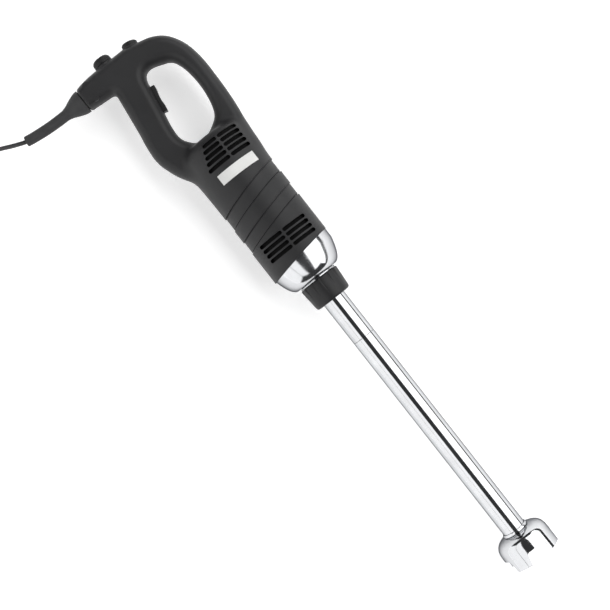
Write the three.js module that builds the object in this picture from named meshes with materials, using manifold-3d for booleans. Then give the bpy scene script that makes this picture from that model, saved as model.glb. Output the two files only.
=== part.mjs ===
// A heavy-duty hand-held immersion blender, lying on its side on a flat surface.
// Millimetres, +Z up. Everything on the drive axis is drawn about the line y = 0, z = 0 of a
// "tool" group, with +x from the bell towards the handle and +y on the cord's side. The group is then
// lifted by the barrel's radius, so that the barrel rests on z = 0, and centred in x and y.
import * as THREE from 'three';
import { mergeVertices } from 'three/addons/utils/BufferGeometryUtils.js';
import Module from 'manifold-3d';

const wasm = await Module();
wasm.setup();

// ---------------------------------------------------------------- driving dimensions
const GAP = 0.3; // clearance between pieces that meet
const FINE = 36; // facets round the barrel, the bowl and the bell
const MEDIUM = 20; // facets round the collar, the tube and the bearings
const COARSE = 10; // facets round shafts, screws and pins

const BARREL_R = 44.4;
const WALL = 3;
const DOME_BASE = 206; // where the barrel starts to round off into the handle
const DOME_TOP = 247;

const HANDLE_HALF = 17; // half the handle's thickness
const HANDLE_ROUND = 9; // how far its edges round inwards
const HANDLE_SIDE = -54.3; // the handle's side away from the cord
const ARM_END = 90; // the face of the handle's arm that the cord leaves
const ARM_AXIS = 374.2; // x of the middle of the arm

const RIM_X = 67.9; // the housing's slanted lower edge, on the axis
const RIM_SLOPE = -0.178; // its change in x for each mm of y
const BAND_SLOPE = -0.262;
const BAND_DEPTH = 1.5;
const BANDS = [[116.4, 133.2], [150.6, 168.6]];

const BOWL_R = 43.6;
const BOWL_END = 36;
const NECK_R = 21;
const NECK_BORE = 15.3;
const NECK_END = 12.3;
const COLLAR_ENDS = [3, 33.4];
const NECK_FLANGE = [33.8, 35.2]; // a thin flange that shows between the collar and the bowl
const FLANGE_R = 25;
const COLLAR_R = [24.4, 26.2];

const TUBE_R = 15;
const TUBE_BORE = 13.5;
const TUBE_SEAM = -55;
const TUBE_END = -349.7;
const BELL_TOP = -350;
const BELL_RIM = -386.4;
const BELL_R = 34.8;
const BELL_WALL = 2;
const NOTCH_TOP = -371.4;
const NOTCH_TURN = 9.5; // degrees from straight up to the middle of the first notch, away from the cord
const NOTCH_HALF = [15.8, 12.5]; // half widths at the rim and at the top
const SHAFT_R = 4;
const BLADE_X = -373;
const BLADE_R = 27;

const CORD_R = 2.7;
const BOOT_END = 174.6;
const COIL_CENTRE = [396.8, 294.5];
const COIL_R = [23, 40.1];
const COIL_TOP = 20.3;
const PLUG_R = 17.4;
const PLUG_Y = 331.6;
const PLUG_ENDS = [312, 352];

// ---------------------------------------------------------------- materials
const finish = (color, roughness, metalness) =>
  new THREE.MeshStandardMaterial({ color, roughness, metalness });
const housingBlack = finish(0x2b2b2c, 0.45, 0);
const controlBlack = finish(0x1c1c1d, 0.5, 0);
const collarGrey = finish(0x3f3f40, 0.5, 0);
const bootRubber = finish(0x444445, 0.7, 0);
const cordSheath = finish(0x2c2c2d, 0.6, 0);
const chrome = finish(0xd8d9db, 0.08, 1);
const steel = finish(0xa9abad, 0.3, 1);
const laminations = finish(0x777a7d, 0.5, 0.8);
const copper = finish(0xb06a3b, 0.35, 1);
const carbon = finish(0x242424, 0.8, 0);
const brass = finish(0xc2a35a, 0.3, 1);
const boardGreen = finish(0x2f5a3a, 0.6, 0);
const moulded = finish(0xd8d6cd, 0.6, 0);
const badgeGrey = finish(0xe4e4e2, 0.4, 0);

// ---------------------------------------------------------------- solids
/** A closed geometry as a solid, with its faces turned outwards. */
function solid(geometry) {
  const bare = new THREE.BufferGeometry();
  bare.setAttribute('position', geometry.getAttribute('position').clone());
  if (geometry.index) bare.setIndex(geometry.index.clone());
  const merged = mergeVertices(bare, 1e-4);
  const at = merged.getAttribute('position').array;
  const corners = [];
  let volume = 0;
  const [a, b, c] = [new THREE.Vector3(), new THREE.Vector3(), new THREE.Vector3()];
  for (let i = 0; i < merged.index.count; i += 3) {
    const [p, q, r] = [0, 1, 2].map((k) => merged.index.getX(i + k));
    if (p === q || q === r || r === p) continue;
    corners.push([p, q, r]);
    a.fromArray(at, 3 * p);
    b.fromArray(at, 3 * q);
    c.fromArray(at, 3 * r);
    volume += a.dot(b.cross(c));
  }
  const order = volume < 0 ? corners.map(([p, q, r]) => [p, r, q]) : corners;
  const mesh = new wasm.Mesh({
    numProp: 3,
    vertProperties: Float32Array.from(at),
    triVerts: Uint32Array.from(order.flat()),
  });
  return new wasm.Manifold(mesh);
}

const joined = (first, ...others) => others.reduce((all, one) => all.add(one), first);
const cut = (whole, ...tools) => tools.reduce((left, tool) => left.subtract(tool), whole);

/** A body turned about the x axis. The profile is a list of [x, radius] and ends on the axis or closes. */
function turned(profile, facets = MEDIUM) {
  const points = profile.map(([x, r]) => new THREE.Vector2(r, x));
  if (profile[0][1] > 0) points.push(points[0].clone());
  return solid(new THREE.LatheGeometry(points, facets).rotateZ(-Math.PI / 2));
}
const rod = (from, to, r, facets = COARSE) => turned([[from, 0], [from, r], [to, r], [to, 0]], facets);
const ring = (from, to, bore, r, facets = MEDIUM) =>
  turned([[from, bore], [from, r], [to, r], [to, bore]], facets);

/** A cylinder between two points. */
function bar(from, to, r, facets = COARSE) {
  const [a, b] = [new THREE.Vector3(...from), new THREE.Vector3(...to)];
  const along = b.clone().sub(a);
  const geometry = new THREE.CylinderGeometry(r, r, along.length(), facets);
  const turn = new THREE.Quaternion().setFromUnitVectors(new THREE.Vector3(0, 1, 0), along.normalize());
  geometry.applyQuaternion(turn);
  return solid(geometry.translate(...a.add(b).multiplyScalar(0.5)));
}

function block([x0, x1], [y0, y1], [z0, z1]) {
  const geometry = new THREE.BoxGeometry(x1 - x0, y1 - y0, z1 - z0);
  return solid(geometry.translate((x0 + x1) / 2, (y0 + y1) / 2, (z0 + z1) / 2));
}

/** A shape in the xy plane made thick from z0 to z1. */
const slab = (shape, z0, z1) =>
  solid(new THREE.ExtrudeGeometry(shape, { depth: z1 - z0, bevelEnabled: false, curveSegments: 1 })
    .translate(0, 0, z0));

/** A slot with round ends: its middle line runs from y0 to y1 at x, and it is cut from z0 to z1. */
function slot(x, [y0, y1], width, z0, z1) {
  const shape = new THREE.Shape();
  const r = width / 2;
  const [low, high] = [Math.min(y0, y1) + r, Math.max(y0, y1) - r];
  shape.absarc(x, low, r, Math.PI, 2 * Math.PI, false);
  shape.absarc(x, high, r, 0, Math.PI, false);
  return slab(shape, z0, z1);
}

const tool = new THREE.Group();
const loose = new THREE.Group();

/** Adds a solid to the model as one named mesh. */
function piece(name, body, material, parent = tool) {
  const { vertProperties, triVerts, numProp } = body.getMesh();
  const geometry = new THREE.BufferGeometry();
  const at = new Float32Array((vertProperties.length / numProp) * 3);
  for (let i = 0; i < at.length / 3; i += 1) {
    for (let k = 0; k < 3; k += 1) at[3 * i + k] = vertProperties[numProp * i + k];
  }
  geometry.setAttribute('position', new THREE.BufferAttribute(at, 3));
  geometry.setIndex(Array.from(triVerts));
  geometry.computeVertexNormals();
  const mesh = new THREE.Mesh(geometry, material);
  mesh.name = name;
  parent.add(mesh);
  return mesh;
}

/** Slides a geometry's points along x in proportion to y. */
function sheared(geometry, slope) {
  const at = geometry.getAttribute('position');
  for (let i = 0; i < at.count; i += 1) at.setX(i, at.getX(i) + slope * at.getY(i));
  return geometry;
}

// ---------------------------------------------------------------- housing
const vectors = (points) => points.map(([x, y]) => new THREE.Vector2(x, y));

/** The handle's outline, which runs down into the barrel, and its finger opening. */
function handleShape() {
  const shape = new THREE.Shape();
  shape.moveTo(160, -38);
  shape.lineTo(188, -41);
  shape.splineThru(vectors([
    [206, -45.2], [240, -49.2], [282, -53.4], [324, -54], [351.6, -49.2], [372, -38.4],
    [384, -20.4], [388.8, -4.2],
  ]));
  shape.lineTo(393, 16.2);
  shape.lineTo(392.4, 72);
  shape.lineTo(390, ARM_END + 12);
  shape.lineTo(359.4, ARM_END + 12);
  shape.lineTo(359.4, 86);
  shape.lineTo(357.8, 61.5);
  shape.quadraticCurveTo(357.4, 56, 351, 55.8);
  shape.splineThru(vectors([
    [336, 57.6], [300, 62.4], [276, 66], [262, 66.3], [246, 62.4], [226.8, 54], [212.4, 45.2], [206, 43],
    [188, 41],
  ]));
  shape.lineTo(160, 38);
  const opening = new THREE.Path();
  opening.moveTo(338.4, 16.8);
  opening.splineThru(vectors([
    [349.2, 14.4], [355.2, 5], [353.5, -6], [348, -19.2], [334.8, -27.6], [312, -31.2], [288, -30],
    [266.4, -24], [255.6, -12], [249.5, -1.5], [247.6, 6], [250.5, 13], [258, 21.3], [267.6, 26.4],
    [280, 26.8], [303.6, 22.8],
  ]));
  shape.holes.push(opening);
  return shape;
}

/** The handle's rounded body, drawn in from its outline by the given inset. */
function handleBody(inset) {
  const half = HANDLE_HALF - inset;
  const round = HANDLE_ROUND - inset * 0.6;
  const straight = half * 0.6;
  const geometry = new THREE.ExtrudeGeometry(handleShape(), {
    depth: straight,
    bevelEnabled: true,
    bevelThickness: half - straight / 2,
    bevelSize: round,
    bevelOffset: -round - inset,
    bevelSegments: 3,
    curveSegments: 2,
  });
  return solid(geometry.translate(0, 0, -straight / 2));
}

/** The barrel with its domed top, drawn in by the given inset. */
function barrelBody(inset) {
  const r = BARREL_R - inset;
  const dome = [0.28, 0.52, 0.72, 0.87, 0.97].map((share) => {
    const angle = share * Math.PI / 2;
    return [DOME_BASE + (DOME_TOP - inset - DOME_BASE) * Math.sin(angle), r * Math.cos(angle) ** 0.62];
  });
  return turned([[40, 0], [40, r], [DOME_BASE, r], ...dome, [DOME_TOP - inset, 0]], FINE);
}

/** A big block on the bell's side of the slanted lower edge, moved along x by shift. */
function belowRim(shift) {
  const geometry = new THREE.BoxGeometry(200, 240, 240).translate(RIM_X + shift - 100, 0, 0);
  return solid(sheared(geometry, RIM_SLOPE));
}

function band([from, to]) {
  const points = [[BARREL_R - BAND_DEPTH, from], [60, from], [60, to], [BARREL_R - BAND_DEPTH, to]];
  points.push(points[0]);
  const geometry = new THREE.LatheGeometry(points.map(([r, x]) => new THREE.Vector2(r, x)), FINE);
  return solid(sheared(geometry.rotateZ(-Math.PI / 2), BAND_SLOPE));
}

// The air slots of one side: the lower group by the fan, and the upper one under the handle.
const LOWER_ROWS = [82.2, 88.8, 95.4, 102.6];
const UPPER_ROWS = [[208.8, 25.2], [216, 22.2], [222.6, 19.2], [229.2, 16.8], [235.8, 13.2]];
function airSlots(side) {
  const [inner, outer] = side > 0 ? [19, 60] : [-60, -19];
  const lower = LOWER_ROWS.flatMap((x) =>
    [[-32.8, -1], [1, 32.8]].map((ends) => slot(x, ends, 4.8, inner, outer)));
  const upper = UPPER_ROWS.flatMap(([x, far]) =>
    [[-34.5, -8.3], [-6.3, far]].map((ends) => slot(x, ends, 4.9, inner, outer)));
  return [...lower, ...upper];
}

// The trigger stands square to the grip's inner edge: e runs along the edge and n into the grip.
const TRIGGER_TURN = Math.atan2(16.8 - 22.8, 338.4 - 303.6);
const TRIGGER_AT = [303.6, 22.8];
const onGrip = (body) =>
  body.rotate([0, 0, THREE.MathUtils.radToDeg(TRIGGER_TURN)]).translate([...TRIGGER_AT, 0]);

// The lock button stands on a facet of the handle's top; n points out of it.
const LOCK_TURN = Math.atan2(-4.2, 20.4); // the outward direction, from +x towards -y
const LOCK_AT = [390.9, 6];
const onFacet = (body) =>
  body.rotate([0, 0, THREE.MathUtils.radToDeg(LOCK_TURN)]).translate([...LOCK_AT, 0]);
const KNOB_Y = 44.4;
const KNOB_BASE = 392.9;
const alongX = (body, y) => body.translate([0, y, 0]);

// Screws that go in from the rear shell and hold the two shells together.
const SCREWS = [[384, 76], [365.5, 76], [371, -24], [300, -42.6], [238, -38], [262, 50]];
const BOSS_R = 3.6;
const SCREW_R = 1.5;
const HEAD_R = 2.8;
const HEAD_DEPTH = 2.4;
const SINK = 9; // how deep the heads sit under the handle's rear face

const outside = cut(
  joined(
    barrelBody(0),
    handleBody(0),
    alongX(rod(384, KNOB_BASE, 12.8, MEDIUM), KNOB_Y),
    onFacet(rod(-7, -0.1, 11.6, MEDIUM)),
  ),
  belowRim(0),
  block([340, 410], [ARM_END, 130], [-40, 40]),
  ...BANDS.map(band),
);
const inside = cut(
  joined(barrelBody(WALL), handleBody(WALL)),
  block([340, 410], [ARM_END - WALL, 130], [-40, 40]),
);
const bosses = SCREWS.map(([x, y]) => bar([x, y, -HANDLE_HALF + 1.5], [x, y, HANDLE_HALF - 1.5], BOSS_R));
const openings = [
  onGrip(block([-0.2, 35.2], [-3, 5], [-7, 7])),
  onFacet(rod(-12, 4, 10.4, MEDIUM)),
  alongX(rod(380, KNOB_BASE + 2, 3.6), KNOB_Y),
  bar([ARM_AXIS, ARM_END - 8, 0], [ARM_AXIS, ARM_END + 4, 0], 8, MEDIUM),
];
const shell = cut(joined(cut(outside, inside), ...bosses), ...openings, ...airSlots(1), ...airSlots(-1));
const screwBores = SCREWS.flatMap(([x, y]) => [
  bar([x, y, -HANDLE_HALF - 5], [x, y, -HANDLE_HALF + SINK], HEAD_R + GAP),
  bar([x, y, -HANDLE_HALF + SINK - 1], [x, y, 9], SCREW_R + GAP),
]);
const drilled = cut(shell, ...screwBores);
const halfSpace = (side) =>
  block([-10, 420], [-120, 130], side > 0 ? [GAP / 2, 80] : [-80, -GAP / 2]);
piece('housing_front', drilled.intersect(halfSpace(1)), housingBlack);
piece('housing_rear', drilled.intersect(halfSpace(-1)), housingBlack);

SCREWS.forEach(([x, y], i) => {
  const seat = -HANDLE_HALF + SINK - GAP;
  const head = bar([x, y, seat - HEAD_DEPTH], [x, y, seat], HEAD_R);
  const socket = bar([x, y, seat - HEAD_DEPTH - 1], [x, y, seat - 1.2], 1.3, 6);
  const shank = bar([x, y, seat - 0.5], [x, y, 8.6], SCREW_R);
  piece(`housing_screw_${i + 1}`, cut(joined(head, shank), socket), steel);
});

// A thin blank plate on the barrel's front, where a name would go.
piece('badge', ring(186, 199, BARREL_R + GAP, BARREL_R + 0.8, FINE)
  .intersect(block([180, 210], [-30, 20.4], [5, 60])), badgeGrey);

// ---------------------------------------------------------------- controls
const triggerBody = joined(
  block([0.5, 34.5], [-5.2, 5], [-6.4, 6.4]),
  block([-1.6, 36.4], [4.2, 6], [-7.6, 7.6]),
);
const fingerHollow = new THREE.CylinderGeometry(46, 46, 20, MEDIUM * 2).rotateX(Math.PI / 2);
piece('trigger', onGrip(cut(triggerBody, solid(fingerHollow.translate(19, -50.2, 0)))), controlBlack);
/** A coil spring's wire, wound about the x axis. */
function spring(from, to, r, wire, turns) {
  const steps = turns * 8;
  const path = new THREE.CatmullRomCurve3(Array.from({ length: steps + 1 }, (_, i) => {
    const angle = (i / 8) * 2 * Math.PI;
    return new THREE.Vector3(from + ((to - from) * i) / steps, r * Math.cos(angle), r * Math.sin(angle));
  }));
  const section = new THREE.Shape();
  section.absarc(0, 0, wire, 0, 2 * Math.PI, false);
  return solid(new THREE.ExtrudeGeometry(section, { steps, extrudePath: path, curveSegments: 3 }));
}
const standing = (body) => body.rotate([0, 0, 90]);
piece('trigger_spring', onGrip(standing(spring(6.9, 12.1, 2.8, 0.4, 3)).translate([26, 0, 0])), steel);
piece('trigger_switch', onGrip(block([4, 33], [12.8, 27], [-9, 9])), moulded);

const lockBody = turned([
  [-6.8, 0], [-6.8, 10.9], [-5.2, 10.9], [-5.2, 10], [4.2, 10], [5.4, 9], [5.8, 7], [5.8, 0],
]);
piece('lock_button', onFacet(lockBody), controlBlack);
piece('lock_spring', onFacet(spring(-12.4, -7.4, 3.4, 0.4, 3)), steel);
piece('lock_switch', onFacet(block([-24, -13.2], [-8, 8], [-6, 6])), moulded);

const KNOB_R = 12;
const KNOB_TOP = 402.4;
const knob = turned([
  [382, 0], [382, 3], [KNOB_BASE + GAP, 3], [KNOB_BASE + GAP, KNOB_R], [KNOB_TOP - 3, KNOB_R - 0.6],
  [KNOB_TOP - 0.8, KNOB_R - 2.6], [KNOB_TOP, KNOB_R - 6], [KNOB_TOP, 0],
]);
piece('speed_knob', alongX(knob, KNOB_Y), controlBlack);
piece('potentiometer', alongX(ring(372, 386.5, 3 + GAP, 8), KNOB_Y), moulded);

piece('control_board', block([360.6, 362.2], [-18, 34], [-8, 8]), boardGreen);

// ---------------------------------------------------------------- motor
const MOTOR_STACK = [110, 160];
const POLE_HALF = 52; // degrees on each side of a field pole

/** Turns a shape's plane into the yz plane, so that its depth runs along x. */
const FACING_X = new THREE.Matrix4().makeBasis(
  new THREE.Vector3(0, 1, 0), new THREE.Vector3(0, 0, 1), new THREE.Vector3(1, 0, 0));

/** A ring's sector about the axis, to both sides of the given direction in degrees. */
function sector(from, to, bore, r, middle, half) {
  const shape = new THREE.Shape();
  const [low, high] = [middle - half, middle + half].map(THREE.MathUtils.degToRad);
  shape.absarc(0, 0, r, low, high, false);
  shape.absarc(0, 0, bore, high, low, true);
  const depth = to - from;
  const geometry = new THREE.ExtrudeGeometry(shape, { depth, bevelEnabled: false, curveSegments: 10 });
  return solid(geometry.applyMatrix4(FACING_X).translate(from, 0, 0));
}

const poles = [90, 270];
const stator = joined(
  ring(...MOTOR_STACK, 31.5, 38),
  ...poles.map((at) => sector(...MOTOR_STACK, 24.5, 32, at, POLE_HALF)),
);
piece('stator_core', stator, laminations);
poles.forEach((at, i) => {
  const [from, to] = MOTOR_STACK;
  const coil = cut(
    sector(from - 7, to + 7, 25.2, 31, at, POLE_HALF + 16),
    sector(from - GAP, to + GAP, 20, 40, at, POLE_HALF + 1),
  );
  piece(`field_coil_${i + 1}`, coil, copper);
});

const TEETH = 12;
function armatureShape() {
  const shape = new THREE.Shape();
  const points = Array.from({ length: TEETH }, (_, i) => {
    const at = (i * 2 * Math.PI) / TEETH;
    return [[-11, 23.6], [0, 24], [11, 23.6], [9, 14]].map(([turn, r]) => {
      const angle = at + THREE.MathUtils.degToRad(turn === 9 ? 15 : turn);
      return [r * Math.cos(angle), r * Math.sin(angle)];
    });
  }).flat();
  shape.setFromPoints(vectors(points));
  const bore = new THREE.Path();
  bore.absarc(0, 0, SHAFT_R + GAP, 0, 2 * Math.PI, true);
  shape.holes.push(bore);
  return shape;
}
const armatureStack = new THREE.ExtrudeGeometry(armatureShape(), {
  depth: MOTOR_STACK[1] - MOTOR_STACK[0], bevelEnabled: false, curveSegments: 6,
});
const armature = solid(armatureStack.applyMatrix4(FACING_X).translate(MOTOR_STACK[0], 0, 0));
piece('armature_core', armature, laminations);
piece('winding_lower', ring(101, MOTOR_STACK[0] - GAP, 8, 20), copper);
piece('winding_upper', ring(MOTOR_STACK[1] + GAP, 169, 8, 20), copper);
piece('motor_shaft', rod(30.4, 211, SHAFT_R), steel);

const COMMUTATOR = [174, 190];
const BARS = 12;
const grooves = Array.from({ length: BARS }, (_, i) =>
  block([COMMUTATOR[0] - 1, COMMUTATOR[1] - 2], [10.8, 14], [-0.35, 0.35]).rotate([(i * 360) / BARS, 0, 0]));
piece('commutator', cut(ring(...COMMUTATOR, SHAFT_R + GAP, 12.2), ...grooves), copper);

const FAN = [88, 98];
const blades = Array.from({ length: 10 }, (_, i) =>
  block([FAN[0] + 1.5, FAN[1]], [8, 34], [-0.8, 0.8]).rotate([(i * 360) / 10, 0, 0]));
piece('fan', joined(
  ring(FAN[0], FAN[1], SHAFT_R + GAP, 9),
  ring(FAN[0], FAN[0] + 1.8, SHAFT_R + GAP, 35),
  ...blades,
), moulded);

[1, -1].forEach((side, i) => {
  const spanning = (from, to) => (side > 0 ? [from, to] : [-to, -from]);
  const holder = cut(
    block([176, 188], spanning(15, 31), [-5.2, 5.2]),
    block([177.5, 186.5], spanning(10, 29), [-3.7, 3.7]),
  );
  piece(`brush_holder_${i + 1}`, holder, brass);
  piece(`carbon_brush_${i + 1}`, block([177.9, 186.1], spanning(12.8, 24), [-3.3, 3.3]), carbon);
});

// The upper bracket carries the brush holders' end of the shaft; the lower one closes the bowl.
const airHoles = (x0, x1) => Array.from({ length: 6 }, (_, i) =>
  bar([x0, 25, 0], [x1, 25, 0], 6).rotate([i * 60 + 30, 0, 0]));
const upperPlate = cut(ring(196, 204.5, 11.3, 37.5), ring(199, 206, 14, 36), ...airHoles(190, 210));
piece('upper_bracket', upperPlate, moulded);
piece('upper_bearing', ring(196.4, 204, SHAFT_R + GAP, 11), steel);
piece('lower_bracket', cut(ring(74, 84, 11.3, 38.2), ring(72, 80.5, 14, 36)), moulded);
piece('lower_bearing', ring(75, 83, SHAFT_R + GAP, 11), steel);

// ---------------------------------------------------------------- coupling bowl and collar
const bowlCurve = new THREE.QuadraticBezierCurve(
  new THREE.Vector2(BOWL_END, 29), new THREE.Vector2(38.5, 38), new THREE.Vector2(64, BOWL_R));
const bowlSide = (inset) => bowlCurve.getPoints(5).map(({ x, y }) => [x + inset * 0.7, y - inset]);
const bowlOutside = turned([[BOWL_END, 0], ...bowlSide(0), [90, BOWL_R], [90, 0]], FINE);
const SPIGOT_END = 78.5; // just below the first row of air slots
const bowlSpigot = rod(58, SPIGOT_END, BARREL_R - WALL - GAP, FINE);
const SPIGOT_BORE = BARREL_R - WALL - 2.8;
const bowlHollow = turned([[BOWL_END + 2.5, 0], ...bowlSide(2.5).filter(([, r]) => r < SPIGOT_BORE - 1),
  [60, SPIGOT_BORE], [90, SPIGOT_BORE], [90, 0]], FINE);
const neck = joined(rod(NECK_END, BOWL_END + 1, NECK_R, FINE), rod(...NECK_FLANGE, FLANGE_R, FINE));
const bowl = cut(
  joined(bowlOutside.intersect(belowRim(-GAP)), bowlSpigot, neck),
  bowlHollow,
  rod(NECK_END - 1, BOWL_END + 4, NECK_BORE, FINE),
);
piece('coupling_bowl', bowl, chrome);

/** The collar's grip: a round outline with shallow vertical ribs. */
const COLLAR_RIBS = 14;
const ribs = Array.from({ length: COLLAR_RIBS }, (_, i) =>
  bar([COLLAR_ENDS[0] - 2, COLLAR_R[1] + 0.6, 0], [COLLAR_ENDS[1] + 2, COLLAR_R[1] + 1.6, 0], 1.6, 6)
    .rotate([(i * 360) / COLLAR_RIBS, 0, 0]));
const collar = cut(
  turned([
    [COLLAR_ENDS[0], TUBE_R + 1], [COLLAR_ENDS[0], COLLAR_R[0] - 3],
    [COLLAR_ENDS[0] + 1, COLLAR_R[0] - 1], [COLLAR_ENDS[0] + 3.5, COLLAR_R[0]],
    [COLLAR_ENDS[1] - 1.5, COLLAR_R[1]], [COLLAR_ENDS[1], COLLAR_R[1] - 1],
    [COLLAR_ENDS[1], NECK_R + 0.4], [COLLAR_ENDS[0] + 3, NECK_R + 0.4], [COLLAR_ENDS[0] + 3, TUBE_R + 1],
  ], FINE),
  ...ribs,
);
piece('lock_collar', collar, collarGrey);

// ---------------------------------------------------------------- foot
const ferrule = turned([
  [TUBE_SEAM - 15, TUBE_BORE - 1.8], [TUBE_SEAM - 15, TUBE_BORE - GAP], [TUBE_SEAM + GAP, TUBE_BORE - GAP],
  [TUBE_SEAM + GAP, TUBE_R], [6.4, TUBE_R], [6.4, NECK_R - 0.6], [NECK_END - GAP, NECK_R - 0.6],
  [NECK_END - GAP, NECK_BORE - GAP], [22, NECK_BORE - GAP], [22, TUBE_BORE - 1.8],
]);
piece('foot_ferrule', ferrule, chrome);
piece('foot_tube', ring(TUBE_END, TUBE_SEAM, TUBE_BORE, TUBE_R), chrome);
piece('weld_ring', turned([
  [TUBE_END, TUBE_R + GAP], [TUBE_END, 17], [TUBE_END + 2, 16.8], [TUBE_END + 3.6, 15.9],
  [TUBE_END + 3.6, TUBE_R + GAP],
]), chrome);
const bush = (from, to, outer) => ring(from, to, SHAFT_R + GAP, outer);
piece('upper_bush', bush(8, 18, TUBE_BORE - 1.8 - GAP), brass);
piece('middle_bush', bush(-206, -194, TUBE_BORE - GAP), brass);
piece('lower_bush', bush(-346, -332, TUBE_BORE - GAP), brass);

const bellOutside = [
  [BELL_TOP, 17], [BELL_TOP - 1.6, 24], [BELL_TOP - 4.6, 29.2], [BELL_TOP - 9, 32.3], [BELL_TOP - 14, 33.6],
  [BELL_RIM, BELL_R],
];
const bellInside = bellOutside.map(([x, r], i) => [i < 3 ? x - BELL_WALL : x, r - BELL_WALL]).reverse();
bellInside[0] = [BELL_RIM, BELL_R - BELL_WALL];
const bellCup = turned([[BELL_TOP, SHAFT_R + 0.8], ...bellOutside, ...bellInside,
  [BELL_TOP - BELL_WALL, SHAFT_R + 0.8]], FINE);
const notchShape = new THREE.Shape(vectors([
  [BELL_RIM - 2, -NOTCH_HALF[0] - 0.4], [NOTCH_TOP - 1.5, -NOTCH_HALF[1]], [NOTCH_TOP, -NOTCH_HALF[1] + 1.5],
  [NOTCH_TOP, NOTCH_HALF[1] - 1.5], [NOTCH_TOP - 1.5, NOTCH_HALF[1]], [BELL_RIM - 2, NOTCH_HALF[0] + 0.4],
]));
const notches = [0, 1, 2, 3].map((i) => slab(notchShape, 20, 50).rotate([NOTCH_TURN + i * 90, 0, 0]));
piece('bell_guard', cut(bellCup, ...notches), chrome);
piece('shaft_seal', ring(BELL_TOP - 6.4, BELL_TOP - BELL_WALL - GAP, SHAFT_R + GAP, 9), bootRubber);

// The drive shaft runs the foot's length, with the driven half of the coupling at its top.
piece('drive_shaft', rod(-378.6, 24, SHAFT_R), steel);
const lugs = (from, to, half) => [0, 90].map((turn) =>
  block([from, to], [-9, 9], [-half, half]).rotate([turn, 0, 0]));
piece('upper_dog', cut(
  joined(ring(31, 42, SHAFT_R + GAP, 11.5), ring(25, 31.5, 9.6, 11.5)),
  block([20, 30.4], [-1, 1], [-1, 1]),
), steel);
piece('lower_dog', cut(joined(ring(24.3, 26.5, 0.4, 8), ...lugs(24.3, 29.6, 1.6)), rod(20, 32, 0.5)), steel);

/** A winged blade: a hub and two blades whose tips are bent opposite ways. */
const wing = (turn) => joined(
  block([BLADE_X - 0.9, BLADE_X + 0.9], [0, 17], [-5, 5]),
  block([-0.9, 0.9], [-1, 11], [-4.6, 4.6]).rotate([0, 0, turn > 0 ? 24 : -24]).translate([BLADE_X, 16, 0]),
).rotate([turn > 0 ? 0 : 180, 0, 0]);
piece('blade', cut(joined(rod(BLADE_X - 1.6, BLADE_X + 1.6, 8, MEDIUM), wing(1), wing(-1)),
  rod(BLADE_X - 4, BLADE_X + 4, SHAFT_R + GAP)).intersect(rod(-400, -350, BLADE_R, FINE)), steel);
piece('blade_nut', cut(rod(-380, BLADE_X - 1.6 - GAP, 6.5, 6), rod(-378.9, -360, SHAFT_R + GAP)), steel);

// ---------------------------------------------------------------- cord and what holds it
/** How far the boot's middle line lies from the arm's, which curves towards +x near its end. */
const bootCurve = (y) => (y < 124 ? 0 : 0.00172 * (y - 124) ** 2);

/** A round body along +y from the arm, following the boot's curve. The profile is [y, radius]. */
function alongBoot(profile, facets) {
  const points = profile.map(([y, r]) => new THREE.Vector2(r, y));
  if (profile[0][1] > 0) points.push(points[0].clone());
  const geometry = new THREE.LatheGeometry(points, facets);
  const at = geometry.getAttribute('position');
  for (let i = 0; i < at.count; i += 1) at.setX(i, at.getX(i) + ARM_AXIS + bootCurve(at.getY(i)));
  return solid(geometry);
}
const BOOT_BORE = CORD_R + 0.6;
const stations = (from, to, count) =>
  Array.from({ length: count + 1 }, (_, i) => from + ((to - from) * i) / count);
const sleeve = stations(122, BOOT_END - 1, 4).map((y) => [y, 6.8 - 0.006 * (y - 122)]);
const bootBore = stations(BOOT_END, 122, 4).map((y) => [y, BOOT_BORE]);
piece('cord_boot', alongBoot([
  [83, 10], [86.5, 10], [86.5, 7.6], [ARM_END + GAP, 7.6], [ARM_END + GAP, 15], [100, 13.4], [108, 10.6],
  [115, 8], ...sleeve, [BOOT_END, 5.6], ...bootBore, [83, BOOT_BORE],
], MEDIUM), bootRubber);
const lead = [[58, 0], [58, CORD_R], ...stations(122, 160, 3).map((y) => [y, CORD_R]), [160, 0]];
piece('inner_lead', alongBoot(lead, COARSE), cordSheath);
const clampBody = block([ARM_AXIS - 5, ARM_AXIS + 5], [66, 71], [-7, 7]);
piece('cord_clamp', cut(clampBody, bar([ARM_AXIS, 60, 0], [ARM_AXIS, 80, 0], CORD_R + 0.6)), moulded);

// The cord leaves the boot level, drops to the surface and runs on to its coil.
const AXIS_HEIGHT = BARREL_R;
const CORD_ROUTE = [
  [377.1, 165, 44.4], [378.6, 174.6, 44.4], [381.6, 182.5, 43.7], [386.4, 192.4, 40.6],
  [394, 205.6, 33.5], [401.4, 219.8, 23.2], [408.6, 234.4, 13.4], [415.2, 248.2, 6.2],
  [421.2, 256.6, 3.6], [427, 262.6, 2.8],
];
const CORD_TAIL = [
  [381, 338.6, 17.4], [372, 334.2, 17.4], [362, 331.8, 17.4], [352.3, PLUG_Y, 17.4],
];

/** A round cord through the points, in the surface's frame. */
function cordTube(route, steps) {
  const path = new THREE.CatmullRomCurve3(route.map((p) => new THREE.Vector3(...p)), false, 'centripetal');
  const section = new THREE.Shape();
  section.absarc(0, 0, CORD_R, 0, 2 * Math.PI, false);
  return solid(new THREE.ExtrudeGeometry(section, { steps, extrudePath: path, curveSegments: 5 }));
}
piece('cord_run', cordTube(CORD_ROUTE, 16), cordSheath, loose);
piece('cord_tail', cordTube(CORD_TAIL, 4), cordSheath, loose);

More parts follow.
